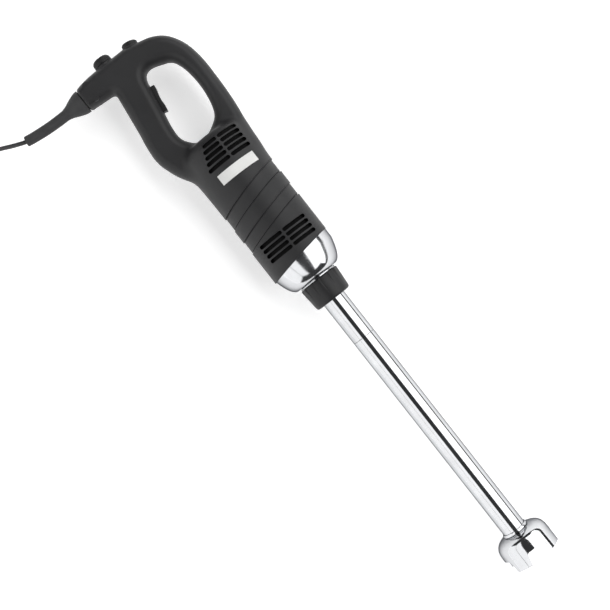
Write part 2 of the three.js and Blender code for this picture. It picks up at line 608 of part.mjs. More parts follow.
const coilProfile = [
  [COIL_R[0] + 3, 0], [COIL_R[1] - 3, 0], [COIL_R[1], 3], [COIL_R[1], COIL_TOP - 3],
  [COIL_R[1] - 3, COIL_TOP], [COIL_R[0] + 3, COIL_TOP], [COIL_R[0], COIL_TOP - 3], [COIL_R[0], 3],
  [COIL_R[0] + 3, 0],
].map(([r, z]) => new THREE.Vector2(r, z));
const coilRing = solid(new THREE.LatheGeometry(coilProfile, 24).rotateX(Math.PI / 2));
piece('cord_coil', coilRing.translate([...COIL_CENTRE, 0]), cordSheath, loose);
const tie = cut(
  block([-COIL_R[1] - 1.4, -COIL_R[0] + 1.8], [-4, 4], [0.2, COIL_TOP + 1.3]),
  block([-COIL_R[1] - GAP, -COIL_R[0] + 0.8], [-5, 5], [-1, COIL_TOP + GAP]),
);
piece('cord_tie', tie.translate([...COIL_CENTRE, 0]), bootRubber, loose);

const [plugFace, plugRear] = PLUG_ENDS;
const plug = turned([
  [plugFace, 0], [plugFace, PLUG_R], [plugFace + 7, PLUG_R], [plugFace + 11, 14.5], [plugFace + 20, 12.4],
  [plugFace + 28, 13.4], [plugFace + 31, 9], [plugFace + 33, 6], [plugRear, 4.6], [plugRear, 0],
]).translate([0, PLUG_Y, PLUG_R]);
const PIN_SPACING = 19;
const pinAt = [-0.5, 0.5].map((side) => PLUG_Y + side * PIN_SPACING);
const pinHoles = pinAt.map((y) => bar([plugFace - 1, y, PLUG_R], [plugFace + 6, y, PLUG_R], 2.4 + GAP));
piece('plug_body', cut(plug, ...pinHoles), cordSheath, loose);
pinAt.forEach((y, i) => {
  piece(`plug_pin_${i + 1}`, bar([plugFace - 19, y, PLUG_R], [plugFace + 5.6, y, PLUG_R], 2.4), brass, loose);
});

// ---------------------------------------------------------------- the whole
tool.position.z = AXIS_HEIGHT;
const blender = new THREE.Group();
const CENTRE = [(BELL_RIM + KNOB_TOP) / 2, (BOOT_END + HANDLE_SIDE) / 2];
blender.position.set(-CENTRE[0], -CENTRE[1], 0);
blender.add(tool, loose);
blender.updateMatrixWorld(true);
export default blender;
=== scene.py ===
"""Builds the finished look of a hand-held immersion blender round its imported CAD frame.

Sizes are in millimetres in the tool's own frame: u along the drive axis from the bell towards the
handle, y towards the side that the cord leaves, and w up from the handle's middle plane.
"""

import math

import bpy
import bmesh
import numpy as np
from bpy.props import FloatProperty, FloatVectorProperty, IntProperty, PointerProperty
from mathutils import Matrix, Vector


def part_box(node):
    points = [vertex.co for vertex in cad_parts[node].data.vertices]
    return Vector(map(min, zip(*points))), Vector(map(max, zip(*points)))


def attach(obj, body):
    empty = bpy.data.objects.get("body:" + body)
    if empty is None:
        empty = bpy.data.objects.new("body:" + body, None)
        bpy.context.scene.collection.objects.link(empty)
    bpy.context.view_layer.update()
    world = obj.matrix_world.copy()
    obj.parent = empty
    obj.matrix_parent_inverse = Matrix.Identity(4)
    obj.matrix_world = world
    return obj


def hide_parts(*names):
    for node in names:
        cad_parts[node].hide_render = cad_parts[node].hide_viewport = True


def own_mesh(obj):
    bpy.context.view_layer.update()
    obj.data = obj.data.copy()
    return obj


bl_info = {
    "name": "Immersion blender builder",
    "version": (1, 0, 0),
    "blender": (4, 5, 0),
    "location": "3D View > Sidebar > Immersion Blender",
    "description": "Builds a hand-held immersion blender, its cord and its stage",
    "category": "Add Mesh",
}

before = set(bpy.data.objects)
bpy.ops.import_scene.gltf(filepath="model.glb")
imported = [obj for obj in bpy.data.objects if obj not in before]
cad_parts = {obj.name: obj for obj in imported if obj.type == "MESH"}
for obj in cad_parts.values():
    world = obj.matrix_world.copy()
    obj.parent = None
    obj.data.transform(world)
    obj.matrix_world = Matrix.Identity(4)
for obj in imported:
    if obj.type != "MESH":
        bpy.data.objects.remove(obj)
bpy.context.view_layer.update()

MM = 0.001
BELL_RIM = -386.4  # u of the bell's lowest edge
TUBE_LOW, TUBE_HIGH = (Vector(corner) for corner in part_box("foot_tube"))
TUBE_AXIS = (TUBE_LOW + TUBE_HIGH) / 2
ORIGIN = Vector((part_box("bell_guard")[0][0] - BELL_RIM * MM, TUBE_AXIS.y, TUBE_AXIS.z))
AXIS_HEIGHT = round(ORIGIN.z / MM, 2)
TUBE_R = round((TUBE_HIGH.y - TUBE_LOW.y) / 2 / MM, 2)


def linear(code):
    """An sRGB hex colour as linear RGBA."""
    parts = [int(code[i : i + 2], 16) / 255 for i in (0, 2, 4)]
    return (*(c / 12.92 if c <= 0.04045 else ((c + 0.055) / 1.055) ** 2.4 for c in parts), 1.0)


# ---------------------------------------------------------------- settings
def size(name, description, default, low):
    """A size in millimetres."""
    return FloatProperty(name=name, description=description, default=default, min=low)


def count_of(name, description, default):
    return IntProperty(name=name, description=description, default=default, min=3)


def base_colour(name, description, code):
    """A colour given as an sRGB hex code."""
    return FloatVectorProperty(name=name, description=description, subtype="COLOR", size=4, min=0, max=1,
                               default=linear(code))


class BodySizes(bpy.types.PropertyGroup):
    """Sizes of the housing, the bowl, the collar, the foot and the cord, in millimetres."""

    barrel_radius: size("Barrel radius", "Outer radius of the motor barrel", AXIS_HEIGHT, 20)
    wall: size("Wall", "Thickness of the moulded shells", 3.0, 1)
    handle_half: size("Half handle", "Half the handle's thickness", 17.0, 8)
    shoulder: size("Shoulder", "Radius of the barrel's rounded top edge", 16.0, 2)
    grid: size("Skin grid", "Spacing of the points that the shells are skinned on", 1.25, 0.8)
    band_depth: size("Band depth", "Depth of the slanted bands", 1.1, 0)
    bowl_radius: size("Bowl radius", "Largest radius of the coupling bowl", 43.6, 10)
    tube_radius: size("Tube radius", "Outer radius of the foot's tube", TUBE_R, 5)
    bell_radius: size("Bell radius", "Outer radius at the bell's rim", 34.8, 10)
    collar_ribs: count_of("Collar grooves", "Number of finger grooves round the collar", 14)
    knob_ribs: count_of("Knob grooves", "Number of grooves round the speed knob", 26)
    cord_diameter: size("Cord diameter", "Thickness of the cord", 5.4, 2)
    cord_length: FloatProperty(name="Cord length", description="Real length of the cord in metres",
                               default=1.8, min=0.3, unit="LENGTH")


class Colours(bpy.types.PropertyGroup):
    """Base colours of the visible finishes."""

    housing: base_colour("Housing", "Moulded shells", "252526")
    controls: base_colour("Controls", "Trigger, button and knob", "141415")
    collar: base_colour("Collar", "Lock collar", "1e1e1f")
    boot: base_colour("Cord boot", "Rubber strain relief", "2c2c2d")
    cord: base_colour("Cord", "Cord sheath and plug", "242425")
    steel: base_colour("Polished steel", "Foot, bell and bowl", "cbccce")
    badge: base_colour("Badge", "Blank plate on the barrel", "d2d2d0")


def sizes():
    return bpy.context.scene.stick_sizes


def colours():
    return bpy.context.scene.stick_colours


# ---------------------------------------------------------------- placing and meshes
def at(u, y, w):
    """A point of the tool's frame, in the row's frame and in metres."""
    return ORIGIN + Vector((u, y, w)) * MM


def shift(u, y=0, w=0):
    """A move in the tool's frame, in millimetres."""
    return Matrix.Translation((u, y, w))


def turn(degrees, axis):
    return Matrix.Rotation(math.radians(degrees), 4, axis)


def on_floor(u, y, z):
    """A point given by its height above the surface, in metres."""
    return Vector((ORIGIN.x + u * MM, ORIGIN.y + y * MM, z * MM))


def outward(mesh):
    """Turns a closed mesh's faces outwards."""
    mesh.calc_loop_triangles()
    corners = np.zeros(len(mesh.vertices) * 3)
    mesh.vertices.foreach_get("co", corners)
    corners = corners.reshape(-1, 3)
    triangles = np.zeros(len(mesh.loop_triangles) * 3, int)
    mesh.loop_triangles.foreach_get("vertices", triangles)
    a, b, c = (corners[triangles.reshape(-1, 3)[:, k]] for k in range(3))
    if np.einsum("ij,ij->i", a, np.cross(b, c)).sum() < 0:
        mesh.flip_normals()


def new_object(name, points, faces, angle=32):
    """A mesh object from points in the tool's frame in millimetres."""
    mesh = bpy.data.meshes.new(name)
    points = np.asarray(points, float) * MM + np.array(ORIGIN)
    mesh.from_pydata(points.tolist(), [], [list(map(int, f)) for f in faces])
    mesh.update()
    outward(mesh)
    obj = bpy.data.objects.new(name, mesh)
    bpy.context.scene.collection.objects.link(obj)
    shade(obj, angle)
    return obj


def shade(obj, angle=32):
    """Smooth shading, with edges sharper than the angle left crisp."""
    obj.data.shade_smooth()
    obj.data.set_sharp_from_angle(angle=math.radians(angle))


def remove(obj):
    """Deletes an object and its mesh."""
    data = obj.data
    bpy.data.objects.remove(obj)
    if data.users == 0:
        bpy.data.meshes.remove(data)


def flatten(obj):
    """Replaces an object's mesh with what its modifiers make of it."""
    mesh = bpy.data.meshes.new_from_object(obj.evaluated_get(bpy.context.evaluated_depsgraph_get()))
    old = obj.data
    obj.modifiers.clear()
    obj.data = mesh
    mesh.name = obj.name
    if old.users == 0:
        bpy.data.meshes.remove(old)
    return obj


def combine(obj, other, operation="DIFFERENCE"):
    """Cuts an object by another closed mesh, or joins them, and uses the other up."""
    before = (len(obj.data.vertices), len(obj.data.polygons))
    source = obj.data.copy()
    for solver in ("MANIFOLD", "EXACT"):
        modifier = obj.modifiers.new("Combine", "BOOLEAN")
        modifier.operation, modifier.solver, modifier.object = operation, solver, other
        flatten(obj)
        after = (len(obj.data.vertices), len(obj.data.polygons))
        if after[1] and after != before:
            break
        print(f"{solver} left {obj.name} as it was with {other.name}")
        obj.data = source.copy()
    else:
        raise RuntimeError(f"{obj.name} can't be combined with {other.name}")
    bpy.data.meshes.remove(source)
    remove(other)
    return obj


def duplicate(obj, name):
    """A second object with its own copy of the mesh."""
    copy = bpy.data.objects.new(name, obj.data.copy())
    bpy.context.scene.collection.objects.link(copy)
    return copy


def rounded(profile, radius, steps=4, closed=False):
    """A profile with its corners rounded, except the two ends of an open one."""
    points = [Vector(p) for p in profile]
    ends = len(points)
    result = []
    for i, corner in enumerate(points):
        before, after = points[i - 1], points[(i + 1) % ends]
        if not closed and i in (0, ends - 1):
            result.append(tuple(corner))
            continue
        back, ahead = before - corner, after - corner
        reach = min(radius, back.length / 2.05, ahead.length / 2.05)
        if reach < 0.02 or back.angle(-ahead, 0) < math.radians(7):
            result.append(tuple(corner))
            continue
        first, last = corner + back.normalized() * reach, corner + ahead.normalized() * reach
        for k in range(steps + 1):
            t = k / steps
            result.append(tuple(first * (1 - t) ** 2 + corner * 2 * t * (1 - t) + last * t**2))
    return result


def revolve_points(profile, facets):
    """Rings of points round the u axis for a profile of (u, radius), and the faces between them."""
    points, rings, faces = [], [], []
    for u, r in profile:
        if r < 1e-6:
            rings.append([len(points)])
            points.append((u, 0, 0))
            continue
        rings.append(list(range(len(points), len(points) + facets)))
        turns = np.arange(facets) * 2 * math.pi / facets
        points += [(u, r * math.cos(t), r * math.sin(t)) for t in turns]
    pairs = list(zip(rings, rings[1:]))
    if len(rings[0]) > 1 and len(rings[-1]) > 1:
        pairs.append((rings[-1], rings[0]))
    for one, two in pairs:
        for i in range(facets):
            j = (i + 1) % facets
            if len(one) == 1 and len(two) == 1:
                break
            if len(one) == 1:
                faces.append((one[0], two[i], two[j]))
            elif len(two) == 1:
                faces.append((one[i], two[0], one[j]))
            else:
                faces.append((one[i], two[i], two[j], one[j]))
    return np.array(points, float), faces


def turned(name, profile, facets=144, centre=(0, 0)):
    """A body turned about a line along u through centre, (y, w)."""
    points, faces = revolve_points(profile, facets)
    points[:, 1] += centre[0]
    points[:, 2] += centre[1]
    return new_object(name, points, faces)


def placed(obj, matrix):
    """Moves an object's mesh by a matrix of the tool's frame, in millimetres."""
    into = Matrix.Translation(ORIGIN) @ Matrix.Scale(MM, 4)
    obj.data.transform(into @ matrix @ into.inverted())
    obj.data.update()
    return obj


def soft_block(name, u, y, w, radius=0.0):
    """A block between the given limits, with its edges rounded to a radius."""
    mesh = bpy.data.meshes.new(name)
    work = bmesh.new()
    bmesh.ops.create_cube(work, size=1)
    low, high = at(u[0], y[0], w[0]), at(u[1], y[1], w[1])
    for vertex in work.verts:
        vertex.co = Vector(low[k] if vertex.co[k] < 0 else high[k] for k in range(3))
    if radius:
        bmesh.ops.bevel(work, geom=work.edges[:], offset=radius * MM, segments=3, profile=0.5, affect="EDGES")
    work.to_mesh(mesh)
    work.free()
    obj = bpy.data.objects.new(name, mesh)
    bpy.context.scene.collection.objects.link(obj)
    shade(obj, 40)
    return obj


def prism(name, outline, low, high, radius=0.0, segments=3):
    """An outline in the (u, y) plane made thick in w, with its rims rounded."""
    count = len(outline)
    points = [(u, y, w) for w in (low, high) for u, y in outline]
    faces = [list(range(count))[::-1], list(range(count, 2 * count))]
    faces += [[i, (i + 1) % count, count + (i + 1) % count, count + i] for i in range(count)]
    obj = new_object(name, points, faces, 40)
    if radius:
        modifier = obj.modifiers.new("Rounded rim", "BEVEL")
        modifier.width, modifier.segments, modifier.limit_method = radius * MM, segments, "ANGLE"
        modifier.angle_limit = math.radians(45)
        flatten(obj)
        shade(obj, 40)
    return obj


def finish(obj, body, slot_name, *nodes, made_of=None):
    """Hands a piece over to the frame: its body, its finish and the CAD nodes that it stands for.

    Its material is the slot's, unless made_of names another.
    """
    obj.data.materials.clear()
    obj.data.materials.append(material_for(made_of or slot_name))
    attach(obj, body)
    if nodes:
        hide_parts(*nodes)
    return obj


# ---------------------------------------------------------------- node trees for what repeats
def node(tree, kind, settings=None, links=None):
    """Adds a node with its settings and the sockets that feed it."""
    made = tree.nodes.new(kind)
    for key, value in (settings or {}).items():
        if isinstance(key, str) and hasattr(made, key):
            setattr(made, key, value)
        else:
            made.inputs[key].default_value = value
    for key, source in (links or {}).items():
        tree.links.new(source, made.inputs[key])
    made.location = (200 * len(tree.nodes), 0)
    return made


def new_tree(name, inputs):
    """A geometry tree with named inputs, (name, socket type, default)."""
    tree = bpy.data.node_groups.new(name, "GeometryNodeTree")
    tree.interface.new_socket("Geometry", in_out="INPUT", socket_type="NodeSocketGeometry")
    for label, kind, default in inputs:
        socket = tree.interface.new_socket(label, in_out="INPUT", socket_type=kind)
        if default is not None:
            socket.default_value = default
    tree.interface.new_socket("Geometry", in_out="OUTPUT", socket_type="NodeSocketGeometry")
    return tree, tree.nodes.new("NodeGroupInput"), tree.nodes.new("NodeGroupOutput")


def close_tree(tree, out, instances, material):
    """Ends a tree in real geometry with its material set."""
    real = node(tree, "GeometryNodeRealizeInstances", links={"Geometry": instances})
    done = node(tree, "GeometryNodeSetMaterial", links={"Geometry": real.outputs[0], "Material": material})
    tree.links.new(done.outputs[0], out.inputs[0])
    return tree


def run_tree(name, tree, finish_key, values):
    """The mesh that a tree makes on one point at the tool's origin, as a plain object."""
    mesh = bpy.data.meshes.new(name)
    mesh.from_pydata([(0, 0, 0)], [], [])
    obj = bpy.data.objects.new(name, mesh)
    bpy.context.scene.collection.objects.link(obj)
    modifier = obj.modifiers.new(tree.name, "NODES")
    modifier.node_group = tree
    values = {**values, "Material": material_for(finish_key)}
    for item in tree.interface.items_tree:
        if item.in_out == "INPUT" and item.name in values:
            modifier[item.identifier] = values[item.name]
    flatten(obj)
    obj.data.transform(Matrix.Translation(ORIGIN) @ Matrix.Scale(MM, 4))
    outward(obj.data)
    return obj


HALF = 0.499  # a hair under one half, so that rounded ends and stacked parts keep a little overlap


def slot_tree():
    """A row of air slots with round ends, as solid cutters along w."""
    tree, into, out = new_tree("Air slots", [
        ("Count", "NodeSocketInt", 4),
        ("Pitch", "NodeSocketFloat", 6.6),
        ("Length", "NodeSocketFloat", 30.0),
        ("Width", "NodeSocketFloat", 4.0),
        ("Depth", "NodeSocketFloat", 120.0),
        ("Material", "NodeSocketMaterial", None),
    ])
    given = into.outputs
    outline = node(tree, "GeometryNodeCurvePrimitiveQuadrilateral",
                   links={"Width": given["Width"], "Height": given["Length"]})
    half = node(tree, "ShaderNodeMath", {"operation": "MULTIPLY", 1: HALF}, {0: given["Width"]})
    soft = node(tree, "GeometryNodeFilletCurve", {"mode": "POLY", "Count": 8},
                {"Curve": outline.outputs[0], "Radius": half.outputs[0]})
    face = node(tree, "GeometryNodeFillCurve", {"mode": "NGONS"}, {"Curve": soft.outputs[0]})
    raised = node(tree, "GeometryNodeExtrudeMesh", {"mode": "FACES"},
                  {"Mesh": face.outputs[0], "Offset Scale": given["Depth"]})
    flipped = node(tree, "GeometryNodeFlipFaces", links={"Mesh": face.outputs[0]})
    both = node(tree, "GeometryNodeJoinGeometry")
    tree.links.new(raised.outputs[0], both.inputs[0])
    tree.links.new(flipped.outputs[0], both.inputs[0])
    closed = node(tree, "GeometryNodeMergeByDistance", {"Distance": 0.0001}, {"Geometry": both.outputs[0]})
    step = node(tree, "ShaderNodeCombineXYZ", links={"X": given["Pitch"]})
    row = node(tree, "GeometryNodeMeshLine", {"mode": "OFFSET"},
               {"Count": given["Count"], "Offset": step.outputs[0]})
    copies = node(tree, "GeometryNodeInstanceOnPoints",
                  links={"Points": row.outputs[0], "Instance": closed.outputs[0]})
    return close_tree(tree, out, copies.outputs[0], given["Material"])


def groove_tree():
    """Round grooves spaced evenly about the w axis, as solid cutters."""
    tree, into, out = new_tree("Grip grooves", [
        ("Count", "NodeSocketInt", 14),
        ("Ring radius", "NodeSocketFloat", 27.0),
        ("Groove radius", "NodeSocketFloat", 1.6),
        ("Length", "NodeSocketFloat", 40.0),
        ("Material", "NodeSocketMaterial", None),
    ])
    given = into.outputs
    circle = node(tree, "GeometryNodeMeshCircle",
                  links={"Vertices": given["Count"], "Radius": given["Ring radius"]})
    cutter = node(tree, "GeometryNodeMeshCylinder", {"Vertices": 20},
                  {"Radius": given["Groove radius"], "Depth": given["Length"]})
    copies = node(tree, "GeometryNodeInstanceOnPoints",
                  links={"Points": circle.outputs[0], "Instance": cutter.outputs[0]})
    return close_tree(tree, out, copies.outputs[0], given["Material"])


def screw_tree():
    """Socket-head screws along w, their heads down, one on each point."""
    tree, into, out = new_tree("Housing screws", [
        ("Head radius", "NodeSocketFloat", 2.8),
        ("Head height", "NodeSocketFloat", 2.4),
        ("Shank radius", "NodeSocketFloat", 1.5),
        ("Shank length", "NodeSocketFloat", 16.9),
        ("Material", "NodeSocketMaterial", None),
    ])
    given = into.outputs
    head = node(tree, "GeometryNodeMeshCylinder", {"Vertices": 40},
                {"Radius": given["Head radius"], "Depth": given["Head height"]})
    key = node(tree, "GeometryNodeMeshCylinder", {"Vertices": 6, "Radius": 1.5, "Depth": 2.6})
    key_low = node(tree, "GeometryNodeTransform", {"Translation": (0, 0, -1.2)}, {"Geometry": key.outputs[0]})
    drilled = node(tree, "GeometryNodeMeshBoolean", {"operation": "DIFFERENCE", "solver": "EXACT"},
                   {"Mesh 1": head.outputs[0], "Mesh 2": key_low.outputs[0]})
    shank = node(tree, "GeometryNodeMeshCylinder", {"Vertices": 24},
                 {"Radius": given["Shank radius"], "Depth": given["Shank length"]})
    total = node(tree, "ShaderNodeMath", {"operation": "ADD"},
                 {0: given["Head height"], 1: given["Shank length"]})
    half = node(tree, "ShaderNodeMath", {"operation": "MULTIPLY", 1: HALF}, {0: total.outputs[0]})
    lift = node(tree, "ShaderNodeCombineXYZ", links={"Z": half.outputs[0]})
    shank_up = node(tree, "GeometryNodeTransform",
                    links={"Geometry": shank.outputs[0], "Translation": lift.outputs[0]})
    both = node(tree, "GeometryNodeJoinGeometry")
    tree.links.new(drilled.outputs[0], both.inputs[0])
    tree.links.new(shank_up.outputs[0], both.inputs[0])
    copies = node(tree, "GeometryNodeInstanceOnPoints",
                  links={"Points": given["Geometry"], "Instance": both.outputs[0]})
    return close_tree(tree, out, copies.outputs[0], given["Material"])


# ---------------------------------------------------------------- materials
def new_material(name, colour, metallic, roughness, constants=None):
    """A material with its shader, and the object coordinates in millimetres."""
    material = bpy.data.materials.new(name)
    material.use_nodes = True
    tree = material.node_tree
    tree.nodes.clear()
    shader = node(tree, "ShaderNodeBsdfPrincipled", {
        "Base Color": colour, "Metallic": metallic, "Roughness": roughness, **(constants or {})})
    node(tree, "ShaderNodeOutputMaterial", {"is_active_output": True}, {"Surface": shader.outputs[0]})
    place = node(tree, "ShaderNodeTexCoord").outputs["Object"]
    in_mm = node(tree, "ShaderNodeMapping", {"Scale": (1 / MM,) * 3}, {"Vector": place})
    return material, tree, shader, in_mm.outputs[0]


def pattern(tree, place, size_mm, detail, stretch=(1.0, 1.0, 1.0)):
    """A cloudy pattern whose features are about size_mm across, or longer where stretch is under 1."""
    scale = tuple(part / size_mm for part in stretch)
    drawn = node(tree, "ShaderNodeMapping", {"Scale": scale}, {"Vector": place})
    cloud = node(tree, "ShaderNodeTexNoise", {"Scale": 1.0, "Detail": detail}, {"Vector": drawn.outputs[0]})
    return cloud.outputs[0]


def tinted(tree, shader, value, colour, low, high):
    """Makes the colour darker and lighter by a pattern, between two factors."""
    share = node(tree, "ShaderNodeMapRange", {"From Min": 0.3, "From Max": 0.7}, {"Value": value})
    mix = node(tree, "ShaderNodeMix", {"data_type": "RGBA"}, {0: share.outputs[0]})
    mix.inputs[6].default_value = (*(c * low for c in colour[:3]), 1)
    mix.inputs[7].default_value = (*(min(1, c * high) for c in colour[:3]), 1)
    tree.links.new(mix.outputs[2], shader.inputs["Base Color"])


def glossed(tree, shader, value, low, high, span=(0.3, 0.7)):
    """Varies the roughness by a pattern that mostly lies in a span."""
    gloss = node(tree, "ShaderNodeMapRange", {
        "From Min": span[0], "From Max": span[1], "To Min": low, "To Max": high}, {"Value": value})
    tree.links.new(gloss.outputs[0], shader.inputs["Roughness"])


def bumped(tree, shader, height, strength, depth):
    """Raises the surface by a height value, to a depth in millimetres."""
    bump = node(tree, "ShaderNodeBump", {"Strength": strength, "Distance": depth * MM}, {"Height": height})
    tree.links.new(bump.outputs[0], shader.inputs["Normal"])


def moulded_plastic(name, colour, roughness, grain=0.7, depth=0.03):
    """Plastic from a spark-eroded mould: an even satin grain with slow changes of gloss.

    The real grain is about 0.15 mm; it is drawn at 0.7 mm so that it shows.
    """
    material, tree, shader, place = new_material(name, colour, 0.0, roughness, {
        "IOR": 1.52, "Specular IOR Level": 0.26})
    tinted(tree, shader, pattern(tree, place, 45, 3), colour, 0.9, 1.12)
    glossed(tree, shader, pattern(tree, place, 28, 4), roughness - 0.05, roughness + 0.05)
    bumped(tree, shader, pattern(tree, place, grain, 3), 0.35, depth)
    return material


def rubber(name, colour, roughness=0.68):
    """Moulded thermoplastic rubber: matt, faintly mottled and dusty on its high spots."""
    material, tree, shader, place = new_material(name, colour, 0.0, roughness, {"IOR": 1.5})
    tinted(tree, shader, pattern(tree, place, 9, 5), colour, 0.88, 1.15)
    glossed(tree, shader, pattern(tree, place, 14, 3), roughness - 0.08, roughness + 0.08)
    bumped(tree, shader, pattern(tree, place, 0.9, 4), 0.3, 0.05)
    return material


def polished_steel(name, colour, dull=0.035, duller=0.12):
    """Stainless steel polished to a mirror, with faint polishing lines round the axis and a slow waviness.

    Steel darkens towards its outline, where a mirror of silver would not.
    """
    material, tree, shader, place = new_material(name, colour, 1.0, dull, {"Specular Tint": linear("6e6f71")})
    lines = pattern(tree, place, 1.2, 4, stretch=(1.0, 0.04, 0.04))
    smears = pattern(tree, place, 22, 3)
    both = node(tree, "ShaderNodeMath", {"operation": "ADD"}, {0: lines, 1: smears})
    tinted(tree, shader, smears, colour, 0.93, 1.03)
    glossed(tree, shader, both.outputs[0], dull, duller, span=(0.7, 1.3))
    bumped(tree, shader, lines, 0.12, 0.01)
    return material


def machined_steel(name, colour, roughness=0.28):
    """Turned or ground metal: fine tool lines 0.4 mm apart, drawn at 0.8 mm, with varying sheen."""
    material, tree, shader, place = new_material(name, colour, 1.0, roughness)
    lines = pattern(tree, place, 0.8, 3, stretch=(1.0, 0.05, 0.05))
    tinted(tree, shader, pattern(tree, place, 12, 3), colour, 0.82, 1.1)
    glossed(tree, shader, lines, roughness - 0.1, roughness + 0.14)
    bumped(tree, shader, lines, 0.3, 0.02)
    return material


WAVES_PER_MM = 0.314  # the wave texture's scale that puts one band on each millimetre


def banded(name, light, dark, pitch, metallic, roughness):
    """Layers across the drive axis: steel sheets or wire turns, a pitch in millimetres apart."""
    material, tree, shader, place = new_material(name, light, metallic, roughness)
    wave = node(tree, "ShaderNodeTexWave", {
        "wave_type": "BANDS", "bands_direction": "X", "Scale": WAVES_PER_MM / pitch, "Distortion": 0.6,
    }, {"Vector": place})
    mix = node(tree, "ShaderNodeMix", {"data_type": "RGBA"}, {0: wave.outputs[1]})
    mix.inputs[6].default_value = dark
    mix.inputs[7].default_value = light
    tree.links.new(mix.outputs[2], shader.inputs["Base Color"])
    glossed(tree, shader, pattern(tree, place, 6, 3), roughness - 0.06, roughness + 0.12)
    bumped(tree, shader, wave.outputs[1], 0.4, 0.15)
    return material


def circuit_board(name):
    """Glass-fibre board under green lacquer, with copper tracks about 3.5 mm apart."""
    green = linear("1f5a35")
    material, tree, shader, place = new_material(name, green, 0.0, 0.35, {"IOR": 1.5})
    cells = node(tree, "ShaderNodeTexVoronoi", {"feature": "DISTANCE_TO_EDGE", "Scale": 0.28},
                 {"Vector": place})
    edge = node(tree, "ShaderNodeMapRange", {
        "From Min": 0.03, "From Max": 0.08, "To Min": 1, "To Max": 0}, {"Value": cells.outputs[0]})
    mix = node(tree, "ShaderNodeMix", {"data_type": "RGBA"}, {0: edge.outputs[0]})
    mix.inputs[6].default_value = green
    mix.inputs[7].default_value = linear("6f9a5a")
    tree.links.new(mix.outputs[2], shader.inputs["Base Color"])
    bumped(tree, shader, edge.outputs[0], 0.5, 0.08)
    return material


MATERIALS = {}


def material_for(key):
    """The finished material of a slot or a piece, made once."""
    if not MATERIALS:
        c = colours()
        MATERIALS.update({
            # Injection-moulded ABS: a charcoal satin that holds soft, wide highlights.
            "housing": moulded_plastic("Satin moulded ABS", c.housing[:], 0.5),
            # Finer tool grain: the controls look a shade deeper and tighter than the shells.
            "controls": moulded_plastic("Fine-grained nylon", c.controls[:], 0.48, grain=0.55),
            # Glass fibre lifts the grain: a dry, slightly coarse black.
            "collar": moulded_plastic("Glass-filled nylon", c.collar[:], 0.45, grain=0.8, depth=0.04),
            # Matt grey-black rubber with a faint bloom.
            "boot": rubber("Moulded rubber", c.boot[:]),
            # Extruded PVC: smoother than the rubber, with a low sheen along the cord.
            "cord": rubber("Flexible PVC sheath", c.cord[:], 0.5),
            # Mirror polish: the foot shows long, crisp light and dark stripes.
            "chrome": polished_steel("Mirror-polished stainless", c.steel[:]),
            # Spun on a lathe and buffed: the same steel with softer edges to its reflections.
            "bowl": polished_steel("Spun and buffed stainless", c.steel[:], 0.1, 0.2),
            # Turned and ground parts: a grey glitter of tool lines.
            "steel": machined_steel("Machined steel", linear("b4b6b8")),
            # Thin insulated sheets pressed together: fine light and dark edges.
            "laminations": banded("Stacked steel sheets", linear("8d9093"), linear("55585b"), 1.0, 0.9, 0.45),
            # Enamelled copper under varnish: warm brown turns with dark valleys.
            "copper": banded("Varnished copper wire", linear("94511f"), linear("4f260f"), 0.9, 0.85, 0.32),
            # Pressed graphite: dull and grainy, with hardly a highlight.
            "carbon": moulded_plastic("Pressed carbon", linear("2a2a2b"), 0.75, grain=0.4, depth=0.05),
            # Drawn brass: a warm yellow with soft, drawn-out highlights.
            "brass": machined_steel("Bright brass", linear("c9a24f"), 0.24),
            # Lacquered board: green with lighter raised tracks.
            "board": circuit_board("Lacquered circuit board"),
            # Plain black nylon for the inner mouldings: darker and flatter than the shells.
            "moulded": moulded_plastic("Black nylon", linear("161617"), 0.55),
            # Open-cell foam in near-black, as painted shade for the dark inside of the housing: it soaks up
            # the light behind the slots.
            "screen": moulded_plastic("Dust foam", linear("040404"), 0.95, grain=1.4, depth=0.6),
            # Screen-printed paint: a flat pale grey with a low sheen.
            "badge": moulded_plastic("Painted label", c.badge[:], 0.45, grain=1.2, depth=0.01),
        })
    return MATERIALS[key]


# ---------------------------------------------------------------- outlines
def spline(points, steps=6):
    """Points along a smooth curve through the given ones, as a Catmull-Rom spline."""
    p = np.array([points[0], *points, points[-1]], float)
    out = []
    for i in range(1, len(p) - 2):
        a, b, c, d = p[i - 1 : i + 3]
        for t in np.arange(steps) / steps:
            bend = (2 * a - 5 * b + 4 * c - d) * t**2 + (3 * b - a - 3 * c + d) * t**3
            out.append(0.5 * (2 * b + (c - a) * t + bend))
    return [tuple(q) for q in [*out, p[-1]]]


